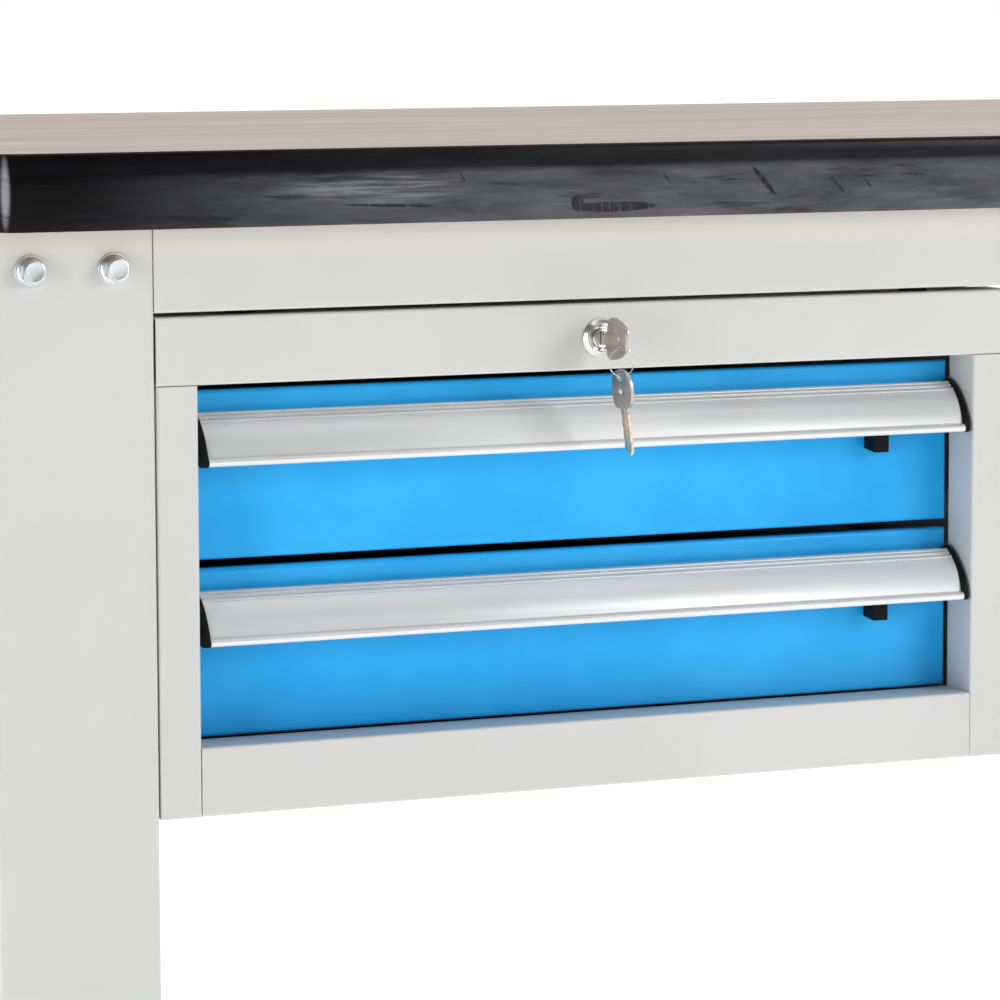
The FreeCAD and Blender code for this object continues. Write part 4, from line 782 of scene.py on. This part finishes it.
# the first number runs to the front across the key, the second up from its eye
SPARE_BOW = [
    (1.5, 5.4), (6.5, 4.0), (9.8, 0.0), (11.0, -5.0), (10.9, -10.5), (9.4, -15.0), (6.4, -17.8), (4.2, -19.4),
    (-3.6, -19.4), (-7.8, -19.3), (-10.2, -17.6), (-11.2, -13.0), (-11.2, -6.0), (-9.6, 0.2), (-5.4, 4.4),
]
SPARE_EYE = (-0.6, 0.0, 2.3)
EYE_STRETCH = 1.25
SPARE_HOLE = (-1.2, -8.9, 2.1)
SPARE_BLADE = [
    (3.7, -16.5), (3.7, -21.0), (2.9, -22.0), (3.7, -23.0), (3.7, -25.6), (2.5, -26.8), (3.7, -28.0),
    (3.7, -30.0), (3.1, -30.7), (3.7, -31.4), (3.7, -34.0), (2.3, -35.6), (3.7, -37.0), (3.7, -39.6),
    (3.0, -40.4), (3.7, -41.4), (3.7, -45.6), (2.0, -48.4), (0.2, -48.6), (-1.8, -46.6), (-3.7, -44.4),
    (-3.7, -41.0), (-2.9, -40.0), (-3.7, -39.0), (-3.7, -33.4), (-2.6, -32.2), (-3.7, -31.0),
    (-3.7, -25.0), (-3.0, -24.2), (-3.7, -23.4), (-3.7, -16.5),
]
SPARE_RIB = [(-0.9, -19.0), (1.1, -19.0), (1.1, -44.5), (-0.9, -44.0)]
SPARE_LEAN, SPARE_TURN = -7.0, 8.0      # degrees, about Y and about Z
SPARE_DROP = 1.2 * MM                   # the eye rests on the ring's wire, below its centre
KEY_THICK = 2.2 * MM
KEY_RIM = 0.28 * MM
# a plate's own axes: out to the front, up, and through the plate along X
PLATE_AXES = Matrix(((0, 0, 1, 0), (-1, 0, 0, 0), (0, 1, 0, 0), (0, 0, 0, 1)))


def key_in_lock(materials):
    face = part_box("upper_rail")[0].y
    axis = JOINTS["lock_turn"]["pos_m"]
    stand = Matrix.Translation((axis[0], face, axis[2])) @ PLATE_AXES
    piece = new_piece("flat_key", "lock_plug", materials["key_metal"], ["key_in_lock"])
    bm = bmesh.new()
    add_plate(bm, [smooth_outline(LOCK_KEY_BOW, 2), round_hole(*LOCK_KEY_EYE)], KEY_THICK, KEY_RIM, stand)
    for side in (-1, 1):
        raised = stand @ Matrix.Translation((0, 0, side * KEY_THICK / 2))
        add_plate(bm, [smooth_outline(LOCK_KEY_PANEL, 2)], PANEL_THICK, PANEL_RIM, raised)
    add_plate(bm, [straight_outline(LOCK_KEY_BLADE)], KEY_THICK - 0.1 * MM, 0.15 * MM, stand)
    finish_mesh(bm, piece, sharp=30)


def hanging_key(materials):
    pivot = Vector(JOINTS["hanging_key_swing"]["pos_m"]) + Vector((0, 0, -SPARE_DROP))
    lean = Matrix.Rotation(math.radians(SPARE_LEAN), 4, "Y")
    turn = Matrix.Rotation(math.radians(SPARE_TURN), 4, "Z")
    stand = Matrix.Translation(pivot) @ lean @ turn @ PLATE_AXES
    piece = new_piece("spare_key", "hanging_key", materials["key_metal"], ["hanging_key"])
    bm = bmesh.new()
    eye = [(u * EYE_STRETCH, v) for u, v in round_hole(*SPARE_EYE)]
    add_plate(bm, [smooth_outline(SPARE_BOW, 2), eye, round_hole(*SPARE_HOLE)], KEY_THICK, KEY_RIM, stand)
    add_plate(bm, [straight_outline(SPARE_BLADE)], KEY_THICK - 0.3 * MM, 0.14 * MM, stand)
    add_plate(bm, [straight_outline(SPARE_RIB)], KEY_THICK + 0.2 * MM, 0.2 * MM, stand)
    finish_mesh(bm, piece, sharp=30)


# sections in mm: radius, and out from the lock's face
BEZEL_SECTION = [
    (6.3, -30.0), (8.9, -30.0), (8.9, 0.0), (11.2, 0.0), (11.7, 0.2), (11.8, 0.6), (11.7, 1.0),
    (11.2, 1.35), (9.6, 3.1), (9.3, 3.35), (8.9, 3.4), (8.5, 3.25), (7.9, 2.3), (7.6, 2.1), (6.3, 2.1),
]
PLUG_SECTION = [(6.0, -34.0), (6.0, 3.2), (5.8, 3.6), (5.3, 3.8), (3.4, 3.8)]
PLUG_FACE, KEYWAY_END = 3.8 * MM, -24.0 * MM
KEYWAY_HALF_WIDE, KEYWAY_HALF_TALL = 1.35 * MM, 4.25 * MM
LOCK_STEPS = 96
LUG_OUT, LUG_THICK, LUG_RIM = 3.0 * MM, 1.6 * MM, 0.25 * MM


def keyway_reach(angle):
    """Distance from the plug's axis to the keyway's side, at an angle."""
    across = KEYWAY_HALF_WIDE / max(abs(math.cos(angle)), 1e-6)
    up = KEYWAY_HALF_TALL / max(abs(math.sin(angle)), 1e-6)
    return min(across, up)


def lock_front(materials):
    """Bezel and barrel of the cam lock, and the plug with its keyway."""
    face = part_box("upper_rail")[0].y
    axis = JOINTS["lock_turn"]["pos_m"]
    matrix = along((0, -1, 0), (axis[0], face, axis[2]))
    piece = new_piece("lock_bezel", "bench", materials["chrome"], ["lock_body"])
    bm = bmesh.new()
    add_rings(bm, [circle_points(r * MM, h * MM, matrix, LOCK_STEPS) for r, h in BEZEL_SECTION], loop=True)
    finish_mesh(bm, piece, sharp=40)
    plug = new_piece("lock_plug_face", "lock_plug", materials["chrome"], ["lock_plug"])
    bm = bmesh.new()
    rings = [circle_points(r * MM, h * MM, matrix, LOCK_STEPS) for r, h in PLUG_SECTION]
    rings += [circle_points(keyway_reach, level, matrix, LOCK_STEPS) for level in (PLUG_FACE, KEYWAY_END)]
    add_rings(bm, rings)
    for rise in (-1, 1):
        near, far = rise * 5.9, rise * 7.9
        lug = smooth_outline([(-1.5, near), (1.5, near), (1.5, far), (-1.5, far)], 1)
        add_plate(bm, [lug], LUG_THICK, LUG_RIM, matrix @ Matrix.Translation((0, 0, LUG_OUT)))
    finish_mesh(bm, plug, sharp=40)


RING_STEPS, RING_TURNS, WIRE_STEPS = 96, 2, 10


def wire_ring(materials):
    """Split ring: two turns of wire side by side."""
    low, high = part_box("key_ring")
    middle = (low + high) / 2
    wire = (high.y - low.y) / (2 * RING_TURNS)
    reach = (high.x - low.x) / 2 - wire
    piece = new_piece("split_ring", "key_ring", materials["chrome"], ["key_ring"])
    bm = bmesh.new()
    rings = []
    for n in range(RING_STEPS * RING_TURNS):
        angle = 2 * math.pi * n / RING_STEPS
        shift = (n / (RING_STEPS * RING_TURNS) - 0.5) * 2 * wire
        outwards = Vector((math.cos(angle), 0, math.sin(angle)))
        centre = middle + outwards * reach + Vector((0, shift, 0))
        rings.append([
            centre + outwards * wire * math.cos(turn) + Vector((0, wire, 0)) * math.sin(turn)
            for turn in (2 * math.pi * k / WIRE_STEPS for k in range(WIRE_STEPS))
        ])
    add_rings(bm, rings)
    finish_mesh(bm, piece, sharp=60)


# sections in mm: radius, and height above the floor
FOOT_SECTION = [
    (23.0, 0.0), (24.0, 0.8), (24.0, 5.4), (23.4, 6.4), (20.0, 8.2), (12.0, 11.6), (10.6, 12.6), (10.2, 14.0),
]
FOOT_RIB = [(10.0, 8.0), (23.2, 5.0), (23.2, 7.0), (11.0, 12.6)]
RIBS = 12
RIB_HALF = 0.9
NUT_ACROSS, NUT_LOW, NUT_HIGH, NUT_TOP = 17 * MM, 14.1 * MM, 21 * MM, 7.6 * MM
THREAD_LOW, THREAD_HIGH, THREAD_PITCH = 21.0, 58.0, 1.5
THREAD_TURN = [(4.6, 0.0), (5.0, 0.45), (5.0, 0.75), (4.6, 1.2)]
STEM_END = [(4.4, 61.4), (3.6, 62.0)]


def levelling_feet(materials):
    """Ribbed pad, threaded stem and lock nut."""
    stem, rise = [], THREAD_LOW
    while rise < THREAD_HIGH:
        stem += [(radius, rise + up) for radius, up in THREAD_TURN]
        rise += THREAD_PITCH
    stem += STEM_END
    for body in ("foot_left_front", "foot_left_rear", "foot_right_front", "foot_right_rear"):
        low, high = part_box(body)
        middle = (low + high) / 2
        matrix = Matrix.Translation((middle.x, middle.y, 0.0))
        piece = new_piece(f"{body}_levelling_foot", body, materials["foot"], [body])
        bm = bmesh.new()
        add_rings(bm, [circle_points(r * MM, h * MM, matrix, 64) for r, h in FOOT_SECTION])
        for n in range(RIBS):
            turned = matrix @ Matrix.Rotation(2 * math.pi * n / RIBS, 4, "Z")
            add_rings(bm, [
                [turned @ Vector((x * MM, side * RIB_HALF * MM, z * MM)) for x, z in FOOT_RIB]
                for side in (-1, 1)
            ])
        add_hex(bm, matrix, NUT_ACROSS, NUT_LOW, NUT_HIGH, NUT_TOP)
        add_rings(bm, [circle_points(r * MM, h * MM, matrix, 32) for r, h in stem])
        finish_mesh(bm, piece)


WELD_BEAD = 2.2 * MM
WELD_STEP = 1.1 * MM
WELD_INSET = 6 * MM


def add_weld(bm, start, stop, seed):
    """A weld bead: overlapping ripples along a line."""
    start, stop = Vector(start), Vector(stop)
    run = stop - start
    matrix = along(run.normalized(), start)
    steps = max(8, int(run.length / WELD_STEP))
    rings = []
    for n in range(steps + 1):
        ripple = 1.0 + 0.16 * math.sin(n * 2.1 + seed) + 0.08 * math.sin(n * 0.73 + 2 * seed)
        ends = min(1.0, 0.35 + 0.3 * min(n, steps - n))
        rings.append(circle_points(WELD_BEAD * ripple * ends / 2 * 1.3, run.length * n / steps, matrix, 10))
    add_rings(bm, rings)


def frame_welds(materials):
    """Beads where the leg frames' rails meet the posts."""
    piece = new_piece("leg_frame_welds", "bench", materials["grey_paint"])
    bm = bmesh.new()
    for side in ("left", "right"):
        for level in ("top", "bottom"):
            low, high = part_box(f"{side}_{level}_rail")
            for y in (low.y, high.y):
                ends = (low.x + WELD_INSET, y, low.z), (high.x - WELD_INSET, y, low.z)
                add_weld(bm, *ends, seed=y + low.z)
    finish_mesh(bm, piece, sharp=80)


# ---------------------------------------------------------------- carried-over CAD nodes

SOFT_EDGE = {  # rim radius in mm by material slot
    "grey_paint": 0.5, "blue_paint": 0.4, "anodised": 0.15, "black_plastic": 0.4, "galvanised": 0.2,
    "zinc": 0.25, "chrome": 0.2,
}
PLAIN_NODES = {"worktop_laminate", "worktop_board"}
NODE_FINISH = {"cabinet_bolts": "gap_shade_black"}      # a node whose finish isn't its slot's: the hanging bolts are near black, painted shade for the dark gap they sit in


def dress_nodes(materials):
    """Gives every CAD node its slot's material, and a small rim radius where it is sheet or cast."""
    for name, node in NODES.items():
        slot = NODE_SLOT[name]
        for place in node.material_slots:
            place.link = "OBJECT"
            place.material = materials[NODE_FINISH.get(name, slot)]
        if node.hide_render or name in PLAIN_NODES or slot not in SOFT_EDGE:
            continue
        weld = node.modifiers.new("weld", "WELD")
        weld.merge_threshold = 1e-6
        if not name.endswith("_drawer_tray"):     # a tray's rim is one flat ring, which has to keep its parts
            flat = node.modifiers.new("flat", "DECIMATE")
            flat.decimate_type = "DISSOLVE"
            flat.angle_limit = math.radians(0.5)
        rim = node.modifiers.new("rim", "BEVEL")
        rim.width = SOFT_EDGE[slot] * MM
        rim.segments = 2
        rim.limit_method = "ANGLE"
        rim.angle_limit = math.radians(50)
        rim.use_clamp_overlap = True
        rim.harden_normals = True


def main():
    make_camera()
    make_studio()
    materials = make_materials()
    edge_band(materials)
    frame_bolts(materials)
    lock_front(materials)
    key_in_lock(materials)
    hanging_key(materials)
    wire_ring(materials)
    levelling_feet(materials)
    frame_welds(materials)
    dress_nodes(materials)


main()
